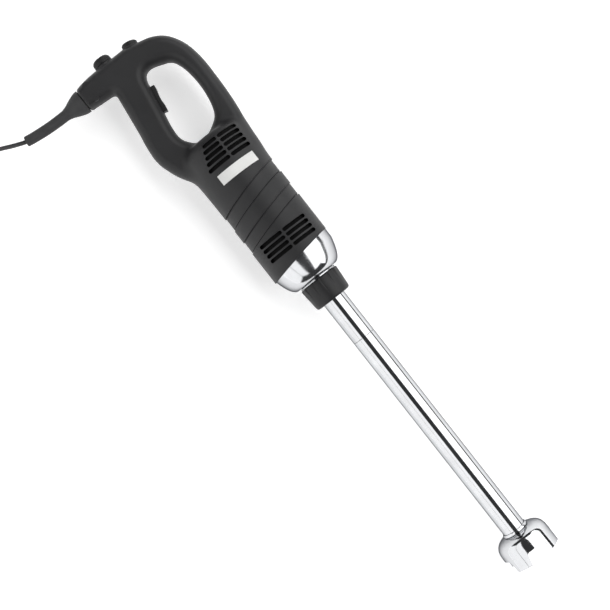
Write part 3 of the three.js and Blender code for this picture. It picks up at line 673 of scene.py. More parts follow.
# The handle's outline in the (u, y) plane: its far side, the end of the cord's arm, and the grip's side.
ARM_END = 90.0
FAR_SIDE = [
    (188, -41), (206, -45.2), (222, -46.9), (240, -49.2), (260, -51.8), (282, -53.4), (304, -54),
    (324, -53.9), (339.6, -52.1), (351.6, -49.2), (362.4, -44.4), (372, -38), (379.2, -30),
    (384.4, -20.4), (387, -12), (388.8, -4.2),
]
ARM_SHOULDER = [(392.6, 62), (392, 72), (390.6, 82), (388.6, 91), (386, 102)]
GRIP_SIDE = [
    (357.9, 62), (357.2, 58.4), (355, 56.2), (351, 55.7), (336, 57.6), (318, 60), (300, 62.4),
    (288, 64.6), (276, 66), (266.4, 66.6), (255.6, 65.4), (246, 62.4), (236.4, 58.8), (226.8, 54),
    (218.4, 48.4), (212.4, 44.9), (206, 43), (188, 41),
]
FINGER_HOLE = [
    (338.4, 16.8), (343.2, 16.2), (349.2, 14.2), (353.6, 10.6), (355.4, 4.8), (354.4, -2.6), (351, -12),
    (348, -19.2), (343.2, -24), (334.8, -27.6), (324, -30), (312, -31.2), (300, -31.2), (288, -30),
    (276, -27.6), (266.4, -24), (260.4, -19.2), (255.6, -12), (251, -3.6), (248.4, 2.4), (247.4, 6.6),
    (248.8, 11.2), (253.6, 17.8), (261.6, 24), (267.6, 26.4), (274.8, 27), (288, 25.8), (303.6, 22.8),
    (321, 19.8), (338.4, 16.8),
]


def handle_outline():
    """The handle from inside the barrel, round its far side and the arm, and back along the grip."""
    return [
        (150, -38), *spline(FAR_SIDE, 3), (393, 16.2), (392.7, 56), *spline(ARM_SHOULDER, 3),
        (359.5, ARM_END + 12), (359.5, 84), *spline(GRIP_SIDE, 3), (150, 38),
    ]


def polygon_distance(px, py, outline):
    """Signed distance to a closed outline, negative inside."""
    best = np.full(px.shape, np.inf)
    inside = np.zeros(px.shape, bool)
    for (ax, ay), (bx, by) in zip(outline, outline[1:] + outline[:1]):
        dx, dy = bx - ax, by - ay
        length = dx * dx + dy * dy
        if length == 0:
            continue
        t = np.clip(((px - ax) * dx + (py - ay) * dy) / length, 0, 1)
        best = np.minimum(best, (px - ax - t * dx) ** 2 + (py - ay - t * dy) ** 2)
        if dy:
            crosses = ((ay > py) != (by > py)) & (px < dx * (py - ay) / dy + ax)
            inside ^= crosses
    return np.where(inside, -1, 1) * np.sqrt(best)


def soft_min(a, b, k):
    """The smaller of two distances, blended where they are within k of each other."""
    h = np.clip(0.5 + 0.5 * (b - a) / k, 0, 1)
    return b + (a - b) * h - k * h * (1 - h)


def rounded_box(across, along, radius):
    """Distance past a rounded edge, from the distances past its two sides with the radius added."""
    outside = np.hypot(np.maximum(across, 0), np.maximum(along, 0))
    return np.minimum(np.maximum(across, along), 0) + outside - radius


EDGE_IN, EDGE_UP = 11.0, 15.0  # the handle's rounded edge: its width in the plan and its height
BARREL_TOP = 247.0
BARREL_BLEND, ARM_BLEND = 7.0, 4.0  # how softly the handle joins the barrel, and the arm ends


def housing_field(u, w, y, flat, hole):
    """How far a point is outside the closed housing; flat and hole are the outlines' distances there."""
    s = sizes()
    rise = (np.abs(w) - (s.handle_half - EDGE_UP)) * (EDGE_IN / EDGE_UP)
    handle = rounded_box(np.maximum(flat, hole) + EDGE_IN, rise, EDGE_IN)
    r = s.shoulder
    barrel = rounded_box(np.hypot(y, w) - (s.barrel_radius - r), u - (BARREL_TOP - r), r)
    return -soft_min(-soft_min(handle, barrel, BARREL_BLEND), ARM_END - y, ARM_BLEND)


def skin(values, low, step):
    """A closed surface where a field on a grid is zero, with one point in each crossed cell."""
    inside = values < 0
    count = [n - 1 for n in values.shape]
    total = sum(inside[i : i + count[0], j : j + count[1], k : k + count[2]].astype(np.int8)
                for i in (0, 1) for j in (0, 1) for k in (0, 1))
    active = (total > 0) & (total < 8)
    index = np.full(active.shape, -1)
    index[active] = np.arange(active.sum())
    cells = np.argwhere(active)
    sums, hits = np.zeros((len(cells), 3)), np.zeros(len(cells))
    for axis in range(3):
        others = [a for a in range(3) if a != axis]
        for p in (0, 1):
            for q in (0, 1):
                start = np.zeros(3, int)
                start[others[0]], start[others[1]] = p, q
                end = start.copy()
                end[axis] = 1
                one = values[tuple((cells + start).T)]
                two = values[tuple((cells + end).T)]
                crossed = (one < 0) != (two < 0)
                t = np.where(crossed, one / np.where(crossed, one - two, 1), 0)
                point = start + t[:, None] * (end - start)
                sums += np.where(crossed[:, None], point, 0)
                hits += crossed
    points = low + (cells + sums / hits[:, None]) * step
    faces = []
    for axis in range(3):
        b, c = [a for a in range(3) if a != axis]
        one, two = [slice(None)] * 3, [slice(None)] * 3
        one[axis], two[axis] = slice(0, -1), slice(1, None)
        edges = np.argwhere(inside[tuple(one)] != inside[tuple(two)])
        for side in (b, c):
            edges = edges[(edges[:, side] > 0) & (edges[:, side] < values.shape[side] - 1)]
        starts_inside = inside[tuple(edges.T)]
        quad = []
        for db, dc in ((0, 0), (1, 0), (1, 1), (0, 1)):
            cell = edges.copy()
            cell[:, b] -= db
            cell[:, c] -= dc
            quad.append(index[tuple(cell.T)])
        quad = np.stack(quad, 1)
        reverse = starts_inside if axis != 1 else ~starts_inside
        quad[reverse] = quad[reverse][:, ::-1]
        faces.append(quad)
    return points, np.concatenate(faces)


SKIN_LOW, SKIN_HIGH = (40.0, -58.0, -47.5), (397.0, 106.0, 47.5)  # the grid's limits, as (u, y, w)
OPEN_BELOW = 48.0  # u below which the barrel is left open, well under its finished rim


def housing_mesh():
    """The hollow housing before its openings are cut."""
    s = sizes()
    outline, hole = handle_outline(), [FINGER_HOLE[0], *spline(FINGER_HOLE, 3)[1:-1]]
    low, high = np.array(SKIN_LOW), np.array(SKIN_HIGH)
    n = np.ceil((high - low) / s.grid).astype(int) + 1
    u, y, w = (low[k] + np.arange(n[k]) * s.grid for k in range(3))
    uu, yy = np.meshgrid(u, y, indexing="ij")
    flat, gap = polygon_distance(uu, yy, outline), -polygon_distance(uu, yy, hole)

    def field(u_, y_, w_, flat_, gap_):
        closed = housing_field(u_, w_, y_, flat_, gap_)
        return np.maximum(np.maximum(closed, -(closed + s.wall)), OPEN_BELOW - u_)

    def value(p):
        a, b = polygon_distance(p[:, 0], p[:, 1], outline), -polygon_distance(p[:, 0], p[:, 1], hole)
        return field(p[:, 0], p[:, 1], p[:, 2], a, b)

    grid = field(uu[:, :, None], yy[:, :, None], w[None, None, :], flat[:, :, None], gap[:, :, None])
    points, faces = skin(grid, low, s.grid)
    # Two steps down the field's slope bring each point onto the true surface.
    for _ in range(2):
        here = value(points)
        slope = np.stack([(value(points + np.eye(3)[k] * 0.05) - here) / 0.05 for k in range(3)], 1)
        steepness = np.maximum((slope**2).sum(1), 0.25)
        points -= np.clip(here / steepness, -0.6, 0.6)[:, None] * slope
    return new_object("housing", points, faces, 30)


def gather(name, *objects):
    """Closed meshes that don't touch each other, as one object."""
    work = bmesh.new()
    for obj in objects:
        work.from_mesh(obj.data)
        remove(obj)
    mesh = bpy.data.meshes.new(name)
    work.to_mesh(mesh)
    work.free()
    made = bpy.data.objects.new(name, mesh)
    bpy.context.scene.collection.objects.link(made)
    return made


def sheared(obj, slope):
    """Slides an object's points along u in proportion to y."""
    return placed(obj, Matrix(((1, slope, 0, 0), (0, 1, 0, 0), (0, 0, 1, 0), (0, 0, 0, 1))))


def standing(name, u, y, profile, facets=40):
    """A body turned about a line along w; the profile is a list of (w, radius)."""
    return placed(turned(name, profile, facets), shift(u, y) @ turn(-90, "Y"))


def rod(low, high, r):
    """The profile of a plain cylinder."""
    return [(low, 0), (low, r), (high, r), (high, 0)]


def run_faces(rings, around):
    """The faces of a run of equal rings of points, closed at both ends."""
    faces = []
    for i in range(rings - 1):
        for k in range(around):
            a, b = i * around + k, i * around + (k + 1) % around
            faces.append((a, b, b + around, a + around))
    return [*faces, tuple(range(around))[::-1], tuple(range((rings - 1) * around, rings * around))]


def strap(name, path, y, half_width, half_thick):
    """A flat band that follows a path in the (u, w) plane, with soft edges."""
    path = [Vector(p) for p in path]
    inset, side = half_width - 0.3, half_thick / 2
    section = [(-half_width, -side), (-inset, -half_thick), (inset, -half_thick), (half_width, -side),
               (half_width, side), (inset, half_thick), (-inset, half_thick), (-half_width, side)]
    points = []
    for i, here in enumerate(path):
        ahead = (path[min(i + 1, len(path) - 1)] - path[max(i - 1, 0)]).normalized()
        normal = Vector((-ahead.y, ahead.x))
        for across, lift in section:
            spot = here + normal * lift
            points.append((spot.x, y + across, spot.y))
    return new_object(name, points, run_faces(len(path), len(section)), 40)


def helix(name, low, high, radius, wire, turns, matrix):
    """A coil spring about u, with closed ends."""
    count, around = turns * 32, 12
    points = []
    for i in range(count + 1):
        angle = 2 * math.pi * turns * i / count
        out = Vector((0, math.cos(angle), math.sin(angle)))
        middle = out * radius + Vector((low + (high - low) * i / count, 0, 0))
        for a in np.arange(around) * 2 * math.pi / around:
            points.append(middle + (out * math.cos(a) + Vector((1, 0, 0)) * math.sin(a)) * wire)
    return placed(new_object(name, points, run_faces(count + 1, around)), matrix)


# ---------------------------------------------------------------- shared places
RIM_SLOPE, BAND_SLOPE = -0.178, -0.262  # how far u falls for each millimetre of y
BANDS = [(116.4, 133.2), (150.6, 168.6)]
ON_GRIP = shift(303.6, 22.8) @ Matrix.Rotation(math.atan2(-6.0, 34.8), 4, "Z")  # the grip's inner face
ON_FACET = shift(390.9, 6) @ Matrix.Rotation(math.atan2(-4.2, 20.4), 4, "Z")  # the flat behind the grip
KNOB_Y, KNOB_BASE, KNOB_TOP = 44.4, 392.9, 402.4
ARM_AXIS = 374.2  # u of the middle of the cord's arm
SCREWS = [(384, 76), (365.5, 76), (371, -24), (300, -42.6), (238, -38), (262, 50)]
LOWER_SLOTS = dict(Count=4, Pitch=6.8, Length=31.8, Width=4.8)
LOWER_SLOTS_U, LOWER_SLOTS_Y = 82.2, 16.9
UPPER_SLOTS = [(208.8, 25.2), (216, 22.2), (222.6, 19.2), (229.2, 16.8), (235.8, 13.2)]  # (u, far end)
SLOT_REACH = 40.0


def slot_cutters(side):
    """Cutters for the air slots of one side of the barrel."""
    tree, made = slot_tree(), []
    rows = [(LOWER_SLOTS_U, y, LOWER_SLOTS) for y in (-LOWER_SLOTS_Y, LOWER_SLOTS_Y)]
    for u, far in UPPER_SLOTS:
        for a, b in ((-34.5, -8.3), (-6.3, far)):
            rows.append((u, (a + b) / 2, dict(Count=1, Length=b - a, Width=4.9)))
    for i, (u, y, values) in enumerate(rows):
        cutter = run_tree(f"slots_{i}", tree, "housing", {**values, "Depth": SLOT_REACH})
        made.append(placed(cutter, shift(u, y, 20 if side > 0 else -20 - SLOT_REACH)))
    return made


# ---------------------------------------------------------------- operators
CAMERA_AT = (18.4, 32.2, 1380)
CAMERA_RIGHT, CAMERA_UP = (-0.6168, -0.7869, 0), (0.7869, -0.6168, 0)
FLOOR_HALF = 9.0  # metres
PANEL_LENGTH = 5.5  # metres
# Panels run along the drive axis: their ends across it as (y, height) in metres, and how bright each is.
# The dark gap between the two overhead draws the line down the middle of the polished steel.
PANELS = [
    ("Key top", (-0.58, 2.0), (-2.2, 2.0), 2.3),
    ("Key side", (-2.25, 1.95), (-2.45, 0.62), 2.3),
    ("Fill top", (0.72, 2.0), (2.2, 2.0), 1.45),
    ("Fill side", (2.25, 1.95), (2.5, 0.05), 1.45),
]


def frame_of(x, y, z, place):
    """A placing matrix from three axes and a place."""
    return Matrix.Translation(place) @ Matrix((x, y, z)).transposed().to_4x4()


def white_sweep():
    """A white floor: a flat matt white that glows as painted light, faintly under the tool to lift its cast
    shadow and more towards its far edge, so that it has no horizon.
    """
    white = linear("f7f7f7")
    material, tree, shader, place = new_material("Lit white sweep", white, 0.0, 0.85, {
        "IOR": 1.46, "Emission Color": (1, 1, 1, 1)})
    tinted(tree, shader, pattern(tree, place, 160, 2), white, 0.99, 1.0)
    # Painted light: the floor's own glow, 0.36 within a metre of its middle to lift the tool's shadow, rising
    # to 1.1 at 2.6 m.
    far = node(tree, "ShaderNodeVectorMath", {"operation": "LENGTH"}, {0: place})
    glow = node(tree, "ShaderNodeMapRange", {
        "From Min": 1000, "From Max": 2600, "To Min": 0.36, "To Max": 1.1}, {"Value": far.outputs["Value"]})
    tree.links.new(glow.outputs[0], shader.inputs["Emission Strength"])
    return material


def dim_room():
    """A world that the view alone sees white; the steel and the plastic see it dim past the panels."""
    world = bpy.data.worlds.new("Dim studio")
    world.use_nodes = True
    tree = world.node_tree
    path = node(tree, "ShaderNodeLightPath")
    room = node(tree, "ShaderNodeMix", {"data_type": "RGBA"}, {0: path.outputs["Is Camera Ray"]})
    room.inputs[6].default_value = (0.05, 0.05, 0.052, 1)
    room.inputs[7].default_value = (1, 1, 1, 1)
    tree.links.new(room.outputs[2], tree.nodes["Background"].inputs[0])
    return world


def panel_light(name, near, far, radiance):
    """A long soft box over the tool, facing its axis."""
    width = math.dist(near, far)
    lamp = bpy.data.lights.new(name, "AREA")
    lamp.shape, lamp.size, lamp.size_y = "RECTANGLE", PANEL_LENGTH, width
    lamp.energy = radiance * math.pi * width * PANEL_LENGTH
    middle = Vector((0, (near[0] + far[0]) / 2, (near[1] + far[1]) / 2))
    along, across = Vector((1, 0, 0)), Vector((0, far[0] - near[0], far[1] - near[1])).normalized()
    facing = along.cross(across)
    if facing.dot(middle) < 0:
        across, facing = -across, -facing
    obj = bpy.data.objects.new(name, lamp)
    obj.matrix_world = frame_of(along, across, facing, middle)
    obj.visible_camera = False
    bpy.context.scene.collection.objects.link(obj)


class STICK_OT_stage(bpy.types.Operator):
    """Sets the camera, the pale floor and the soft studio lights"""

    bl_idname = "stick.stage"
    bl_label = "Stage"

    def execute(self, context):
        scene = context.scene
        camera = bpy.data.cameras.new("Camera")
        camera.lens, camera.sensor_width, camera.clip_end = 67.9, 36, 50
        view = bpy.data.objects.new("Camera", camera)
        view.matrix_world = frame_of(CAMERA_RIGHT, CAMERA_UP, (0, 0, 1), at(*CAMERA_AT))
        scene.collection.objects.link(view)
        scene.camera = view
        scene.view_settings.view_transform = "Standard"

        floor = bpy.data.meshes.new("Floor")
        corners = [(-FLOOR_HALF, -FLOOR_HALF, 0), (FLOOR_HALF, -FLOOR_HALF, 0),
                   (FLOOR_HALF, FLOOR_HALF, 0), (-FLOOR_HALF, FLOOR_HALF, 0)]
        floor.from_pydata(corners, [], [(0, 1, 2, 3)])
        floor.materials.append(white_sweep())
        ground = bpy.data.objects.new("Floor", floor)
        scene.collection.objects.link(ground)

        scene.world = dim_room()
        for panel in PANELS:
            panel_light(*panel)
        return {"FINISHED"}


CORD_ROUTE = [
    (377.1, 165, 44.4), (378.6, 174.6, 44.4), (381.6, 182.5, 43.7), (386.4, 192.4, 40.6), (390.2, 199, 37.3),
    (394, 205.6, 33.5), (397.8, 212.7, 28.4), (401.4, 219.8, 23.2), (405, 227.1, 18.1), (408.6, 234.4, 13.4),
    (412, 241.6, 9.3), (415.2, 248.2, 6.2), (421.2, 256.6, 3.6), (427, 262.9, 2.8), (431.4, 277.6, 2.7),
]
COIL_CENTRE = (396.8, 294.5)
COIL_RADII = (37.1, 25.9)
COIL_START = -12  # degrees
COIL_TURNS = 8 + 102 / 360
COIL_LAYERS = 4
COIL_RISE = 4.9  # how much higher each layer lies
PLUG_Y, PLUG_HEIGHT = 331.6, 17.4
PLUG_FACE, PLUG_REAR = 312.0, 352.0
PIN_SPACING = 19.0


def cord_points():
    """The cord's line: out of the boot, down to the surface, round the coil, and into the plug."""
    radius = sizes().cord_diameter / 2
    points = list(CORD_ROUTE)
    steps = round(COIL_TURNS * 24)
    for i in range(steps + 1):
        share = i / steps
        layer = min(share * COIL_LAYERS, COIL_LAYERS - 1e-9)
        k, part = int(layer), layer % 1
        near, far = COIL_RADII if k % 2 == 0 else COIL_RADII[::-1]
        r = near + (far - near) * part
        climb = sum(min(max((layer - n + 0.12) / 0.19, 0), 1) for n in range(1, COIL_LAYERS))
        whole, rest = int(climb), climb % 1
        angle = math.radians(COIL_START) + share * COIL_TURNS * 2 * math.pi
        height = radius + COIL_RISE * (whole + rest * rest * (3 - 2 * rest))
        points.append((COIL_CENTRE[0] + r * math.cos(angle), COIL_CENTRE[1] + r * math.sin(angle), height))
    points += [(u, PLUG_Y, PLUG_HEIGHT) for u in (388, 379, 370, 361, PLUG_REAR + 0.3)]
    return [on_floor(*p) for p in spline(points, 2)]


class STICK_OT_cord(bpy.types.Operator):
    """Lays the cord from its boot to a tied coil and on to the plug"""

    bl_idname = "stick.cord"
    bl_label = "Cord, tie and plug"

    def execute(self, context):
        s = sizes()
        line = cord_points()
        curve = bpy.data.curves.new("mains_cord", "CURVE")
        curve.dimensions, curve.use_fill_caps = "3D", True
        curve.bevel_depth, curve.bevel_resolution = s.cord_diameter / 2 * MM, 5
        run = curve.splines.new("POLY")
        run.points.add(len(line) - 1)
        for point, place in zip(run.points, line):
            point.co = (*place, 1)
        cord = bpy.data.objects.new("mains_cord", curve)
        context.scene.collection.objects.link(cord)
        finish(cord, "housing", "cord", "cord_run", "cord_tail", "cord_coil")

        sunk, face = PLUG_HEIGHT - AXIS_HEIGHT, PLUG_FACE
        profile = rounded([
            (face, 0), (face, 17.4), (face + 7, 17.4), (face + 11, 14.5), (face + 20, 12.4),
            (face + 28, 13.4), (face + 31, 9), (face + 33, 6.2), (PLUG_REAR, 4.6), (PLUG_REAR, 0),
        ], 2.4, 5)
        plug = turned("plug", profile, 96, (PLUG_Y, sunk))
        grooves = run_tree("plug grooves", groove_tree(), "cord", {
            "Count": 22, "Ring radius": 14.4, "Groove radius": 1.5, "Length": 7.0})
        combine(plug, placed(grooves, shift(face + 20.5, PLUG_Y, sunk) @ turn(90, "Y")))
        for i, side in enumerate((-1, 1)):
            axis = (PLUG_Y + side * PIN_SPACING / 2, sunk)
            combine(plug, turned("pin hole", rod(face - 1, face + 6, 2.7), 32, axis))
            profile = rounded(rod(face - 19, face + 5.6, 2.4), 1.3, 5)
            pin = turned(f"plug_contact_{i + 1}", profile, 40, axis)
            finish(pin, "housing", "brass", f"plug_pin_{i + 1}")
        shade(plug)
        finish(plug, "housing", "cord", "plug_body")

        left, right = COIL_CENTRE[0] - 40.95, COIL_CENTRE[0] - 21.95
        foot, top = 0.4 - AXIS_HEIGHT, 21.05 - AXIS_HEIGHT
        arch = rounded([(left, foot), (left, top), (right, top), (right, foot)], 3.5, 8)
        tie = strap("coil_tie", arch, COIL_CENTRE[1], 4.0, 0.5)
        finish(tie, "housing", "boot", "cord_tie")
        return {"FINISHED"}


SHELL_GAP = 0.15  # half the joint between the two shells
GROOVE = 0.7  # how much deeper a band's edges are cut than its middle
BORE = [(-40, 0), (-40, 3.1), (-8, 3.1), (-8, 1.8), (9, 1.8), (9, 0)]  # a screw's hole, as (w, radius)
# u limits of the near-black screens that paint shade behind the slots
SCREENS = [(79.5, 106.5), (206.6, 239.5)]


def band_cutter(low, high, depth):
    """A ring that cuts one slanted band, with a deeper line at both of its edges."""
    floor = sizes().barrel_radius - depth
    section = [
        (low - 0.6, 60), (low - 0.1, floor - GROOVE), (low + 0.9, floor - GROOVE), (low + 1.5, floor),
        (high - 1.5, floor), (high - 0.9, floor - GROOVE), (high + 0.1, floor - GROOVE), (high + 0.6, 60),
    ]
    return sheared(turned("band", section, 180), BAND_SLOPE)


class STICK_OT_housing(bpy.types.Operator):
    """Moulds the two halves of the housing, with their slots, bands and openings"""

    bl_idname = "stick.housing"
    bl_label = "Housing"

    def execute(self, context):
        body = housing_mesh()
        knob_boss = turned("knob boss", rounded(rod(387.5, KNOB_BASE, 12.8), 0.8), 72, (KNOB_Y, 0))
        lock_boss = placed(turned("lock boss", rounded(rod(-5, -0.1, 11.6), 0.5), 72), ON_FACET)
        posts = [standing("post", u, y, rod(-15.5, 15.5, 4.2), 28) for u, y in SCREWS]
        combine(body, gather("bosses", knob_boss, lock_boss, *posts), "UNION")

        below = sheared(soft_block("below the rim", (-100, 67.9), (-120, 120), (-120, 120)), RIM_SLOPE)
        rings = [band_cutter(low, high, sizes().band_depth) for low, high in BANDS]
        holes = [
            placed(soft_block("trigger slot", (-0.2, 35.2), (-6, 6), (-7, 7)), ON_GRIP),
            placed(turned("button hole", rod(-12, 8, 10.4), 72), ON_FACET),
            turned("knob hole", rod(380, 400, 3.6), 40, (KNOB_Y, 0)),
            placed(turned("boot hole", rod(80, 96, 8.0), 48), shift(ARM_AXIS) @ turn(90, "Z")),
        ]
        bores = [standing("bore", u, y, BORE) for u, y in SCREWS]
        slots = slot_cutters(1) + slot_cutters(-1)
        combine(body, gather("openings", below, *rings, *holes, *bores, *slots))
        for name, limits in (("front", (SHELL_GAP, 80)), ("rear", (-80, -SHELL_GAP))):
            half = duplicate(body, f"housing_shell_{name}")
            combine(half, soft_block("half", (30, 420), (-130, 130), limits), "INTERSECT")
            shade(half, 30)
            finish(half, "housing", "housing", f"housing_{name}")
        remove(body)

        # Near-black foam screens stand behind the slots, front and rear, as painted shade for the housing's
        # dark inside.
        rings = [turned("screen", [(a, 38.6), (a, 39.6), (b, 39.6), (b, 38.6)], 96) for a, b in SCREENS]
        screens = gather("dust_screens", *rings)
        combine(screens, soft_block("middle", (60, 260), (-60, 60), (-17.5, 17.5)))
        shade(screens)
        finish(screens, "housing", "moulded", made_of="screen")
        return {"FINISHED"}


class STICK_OT_screws(bpy.types.Operator):
    """Sets the screws that hold the shells together"""

    bl_idname = "stick.screws"
    bl_label = "Housing screws"

    def execute(self, context):
        seat, head = -8.3, 2.4
        for i, (u, y) in enumerate(SCREWS):
            screw = run_tree(f"shell_screw_{i + 1}", screw_tree(), "steel", {
                "Head radius": 2.8, "Head height": head, "Shank radius": 1.5, "Shank length": 16.9})
            placed(screw, shift(u, y, seat - head / 2))
            shade(screw)
            finish(screw, "housing", "steel", f"housing_screw_{i + 1}")
        return {"FINISHED"}


class STICK_OT_badge(bpy.types.Operator):
    """Lays the thin blank plate on the barrel"""

    bl_idname = "stick.badge"
    bl_label = "Badge"

    def execute(self, context):
        r = sizes().barrel_radius
        lift = r + 0.5
        angles = [math.asin(y / r) for y in np.linspace(-30, 20.4, 40)]
        path = [(math.sin(a) * lift, math.cos(a) * lift) for a in angles]
        plate = strap("name_plate", path, 0, 6.5, 0.25)
        # The strap is laid across the barrel: its path plane becomes (y, w), and its width runs along u.
        across = Matrix(((0, 1, 0, 0), (1, 0, 0, 0), (0, 0, 1, 0), (0, 0, 0, 1)))
        placed(plate, shift(192.5) @ across)
        outward(plate.data)
        finish(plate, "housing", "badge", "badge")
        return {"FINISHED"}


class STICK_OT_controls(bpy.types.Operator):
    """Makes the trigger, the lock button and the speed knob"""

    bl_idname = "stick.controls"
    bl_label = "Trigger, button and knob"

    def execute(self, context):
        crown, middle, sunk = 46, 19, 50.2  # an arc of this radius hollows the trigger's face for a finger
        along = np.linspace(0.5, 34.5, 35)
        face = [(e, max(-5.2, math.sqrt(crown**2 - (e - middle) ** 2) - sunk)) for e in along]
        outline = rounded([*face, (34.5, 5), (0.5, 5)], 2.2, 4, closed=True)
        trigger = prism("power_trigger", outline, -6.4, 6.4, 1.3, 4)
        combine(trigger, soft_block("flange", (-1.6, 36.4), (4.2, 6), (-7.6, 7.6), 0.3), "UNION")
        shade(placed(trigger, ON_GRIP), 40)
        finish(trigger, "trigger", "controls", "trigger")

        profile = rounded([
            (-6.8, 0), (-6.8, 10.9), (-5.2, 10.9), (-5.2, 10), (4.2, 10), (5.8, 8.4), (5.8, 7.4),
            (5.2, 4.5), (5.0, 0),
        ], 0.9, 5)
        button = placed(turned("hold_button", profile, 120), ON_FACET)
        finish(button, "lock_button", "controls", "lock_button")

        base = KNOB_BASE + 0.3
        profile = rounded([
            (382, 0), (382, 3), (base, 3), (base, 12), (KNOB_TOP - 2.6, 11.5), (KNOB_TOP, 9), (KNOB_TOP, 0),
        ], 1.4, 5)
        knob = turned("speed_dial", profile, 156)
        grooves = run_tree("knob grooves", groove_tree(), "controls", {
            "Count": sizes().knob_ribs, "Ring radius": 12.3, "Groove radius": 0.95, "Length": 8.0})
        combine(knob, placed(grooves, shift(base + 6.2) @ turn(90, "Y")))
        combine(knob, soft_block("pointer", (KNOB_TOP - 0.6, KNOB_TOP + 1), (-0.8, 0.8), (2, 9.5)))
        shade(placed(knob, shift(0, KNOB_Y)))
        finish(knob, "speed_knob", "controls", "speed_knob")
        return {"FINISHED"}


# Each spring's piece, limits along its axis, radius, matrix, joint, node, and the end that stays put.
BEHIND_TRIGGER = ON_GRIP @ shift(26) @ turn(90, "Z")
SPRINGS = [
    ("trigger_return", 6.9, 12.1, 2.8, BEHIND_TRIGGER, "trigger_press", "trigger_spring", 12.5),
    ("button_return", -12.4, -7.4, 3.4, ON_FACET, "lock_press", "lock_spring", -12.8),
]
SPRING_WIRE, SPRING_TURNS = 0.4, 3


class STICK_OT_springs(bpy.types.Operator):
    """Winds the springs behind the trigger and the lock button"""

    bl_idname = "stick.springs"
    bl_label = "Return springs"

    def execute(self, context):
        for name, low, high, radius, matrix, joint, cad, fixed in SPRINGS:
            coil = helix(name, low, high, radius, SPRING_WIRE, SPRING_TURNS, matrix)
            finish(coil, "housing", "steel", cad)
            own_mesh(coil)
        return {"FINISHED"}


def quadratic(a, b, c, t):
    """A point of a curve that leaves a towards b and arrives at c."""
    return tuple(p * (1 - t) ** 2 + 2 * q * t * (1 - t) + r * t * t for p, q, r in zip(a, b, c))


class STICK_OT_bowl(bpy.types.Operator):
    """Spins the polished bowl that joins the barrel to the foot"""

    bl_idname = "stick.bowl"
    bl_label = "Coupling bowl"

    def execute(self, context):
        r = sizes().bowl_radius
        side = [quadratic((36, 29), (38.5, 38), (64, r), t) for t in np.linspace(0, 1, 33)]
        inner = [(u + 1.75, q - 2.5) for u, q in side if q < r - 3.6]
        edge = rounded([
            (12.3, 15.3), (12.3, 21), (33.8, 21), (33.8, 25), (35.2, 25), (35.2, 23), (36, 23), side[0],
        ], 0.4)
        profile = [*edge[:-1], *side, (78.5, r), (78.5, 38.6), (60, 38.6), *inner[::-1], (38.5, 15.3)]
        bowl = turned("steel_bowl", profile, 200)
        lip = turned("rim", [(67.6, 41.1), (67.6, 70), (120, 70), (120, 41.1)], 200)
        combine(bowl, sheared(lip, RIM_SLOPE))
        shade(bowl)
        finish(bowl, "housing", "chrome", "coupling_bowl", made_of="bowl")
        return {"FINISHED"}


class STICK_OT_collar(bpy.types.Operator):
    """Makes the ribbed collar that locks the foot"""

    bl_idname = "stick.collar"
    bl_label = "Lock collar"

    def execute(self, context):
        profile = rounded([
            (3, 16), (3, 21.4), (4, 23.4), (6.5, 24.4), (32.2, 26.2), (33.4, 25.2), (33.4, 21.4),
            (6, 21.4), (6, 16),
        ], 0.9, 4, closed=True)
        collar = turned("grip_collar", profile, 168)
        grooves = run_tree("collar grooves", groove_tree(), "collar", {
            "Count": sizes().collar_ribs, "Ring radius": 26.7, "Groove radius": 1.8, "Length": 50.0})
        combine(collar, placed(grooves, shift(19) @ turn(90, "Y")))
        shade(collar)
        finish(collar, "collar", "collar", "lock_collar")
        return {"FINISHED"}


TUBE_END = -349.7  # u where the tube and its weld ring meet the bell


class STICK_OT_foot(bpy.types.Operator):
    """Turns the foot's ferrule, tube and weld ring"""

    bl_idname = "stick.foot"
    bl_label = "Foot tube"

    def execute(self, context):
        r = sizes().tube_radius
        ferrule = [(-70, 11.7), (-70, 13.2), (-54.7, 13.2), (-54.7, r), (6.4, r), (6.4, 20.4), (12, 20.4),
                   (12, r), (22, r), (22, 11.7)]
        tube = [(TUBE_END, 13.5), (TUBE_END, r), (-55, r), (-55, 13.5)]
        weld = [(TUBE_END, r + 0.3), (TUBE_END, 17), (-347.7, 16.9), (-346.1, 15.9), (-346.1, r + 0.3)]
        for name, profile, softness, cad in (
            ("upper_tube", ferrule, 0.35, "foot_ferrule"),
            ("long_tube", tube, 0.35, "foot_tube"),
            ("tube_weld", weld, 0.7, "weld_ring"),
        ):
            piece = turned(name, rounded(profile, softness, closed=True))
            finish(piece, "foot", "chrome", cad)
        return {"FINISHED"}


class STICK_OT_bell(bpy.types.Operator):
    """Forms the notched bell that guards the blade"""

    bl_idname = "stick.bell"
    bl_label = "Bell guard"

    def execute(self, context):
        top, rim, wall = -350.0, BELL_RIM, 3.0
        outer = [(top, 17), (top - 1.6, 24), (top - 4.6, 29.2), (top - 9, 32.3), (top - 14, 33.6)]
        smooth = spline(outer, 6)
        # The inner side keeps the wall's thickness, turning from downwards at the top to inwards at the side.
        inside = [(u - wall * max(0, 1 - i / 20), q - wall) for i, (u, q) in enumerate(smooth)]
        radius = sizes().bell_radius
        profile = [(top, 4.8), *smooth, (rim, radius), (rim, radius - wall), *inside[::-1], (top - wall, 4.8)]
        bell = turned("blade_guard", rounded(profile, 0.7, 4, closed=True), 200)
        side = [(rim - 3, -16.3), (-372.9, -12.5), (-371.4, -11)]
        outline = rounded([*side, *((u, -y) for u, y in side[::-1])], 1.6, 4, closed=True)
        notches = [placed(prism("notch", outline, 18, 50), turn(9.5 + 90 * k, "X")) for k in range(4)]
        combine(bell, gather("notches", *notches))
        shade(bell)
        finish(bell, "foot", "chrome", "bell_guard")
        return {"FINISHED"}


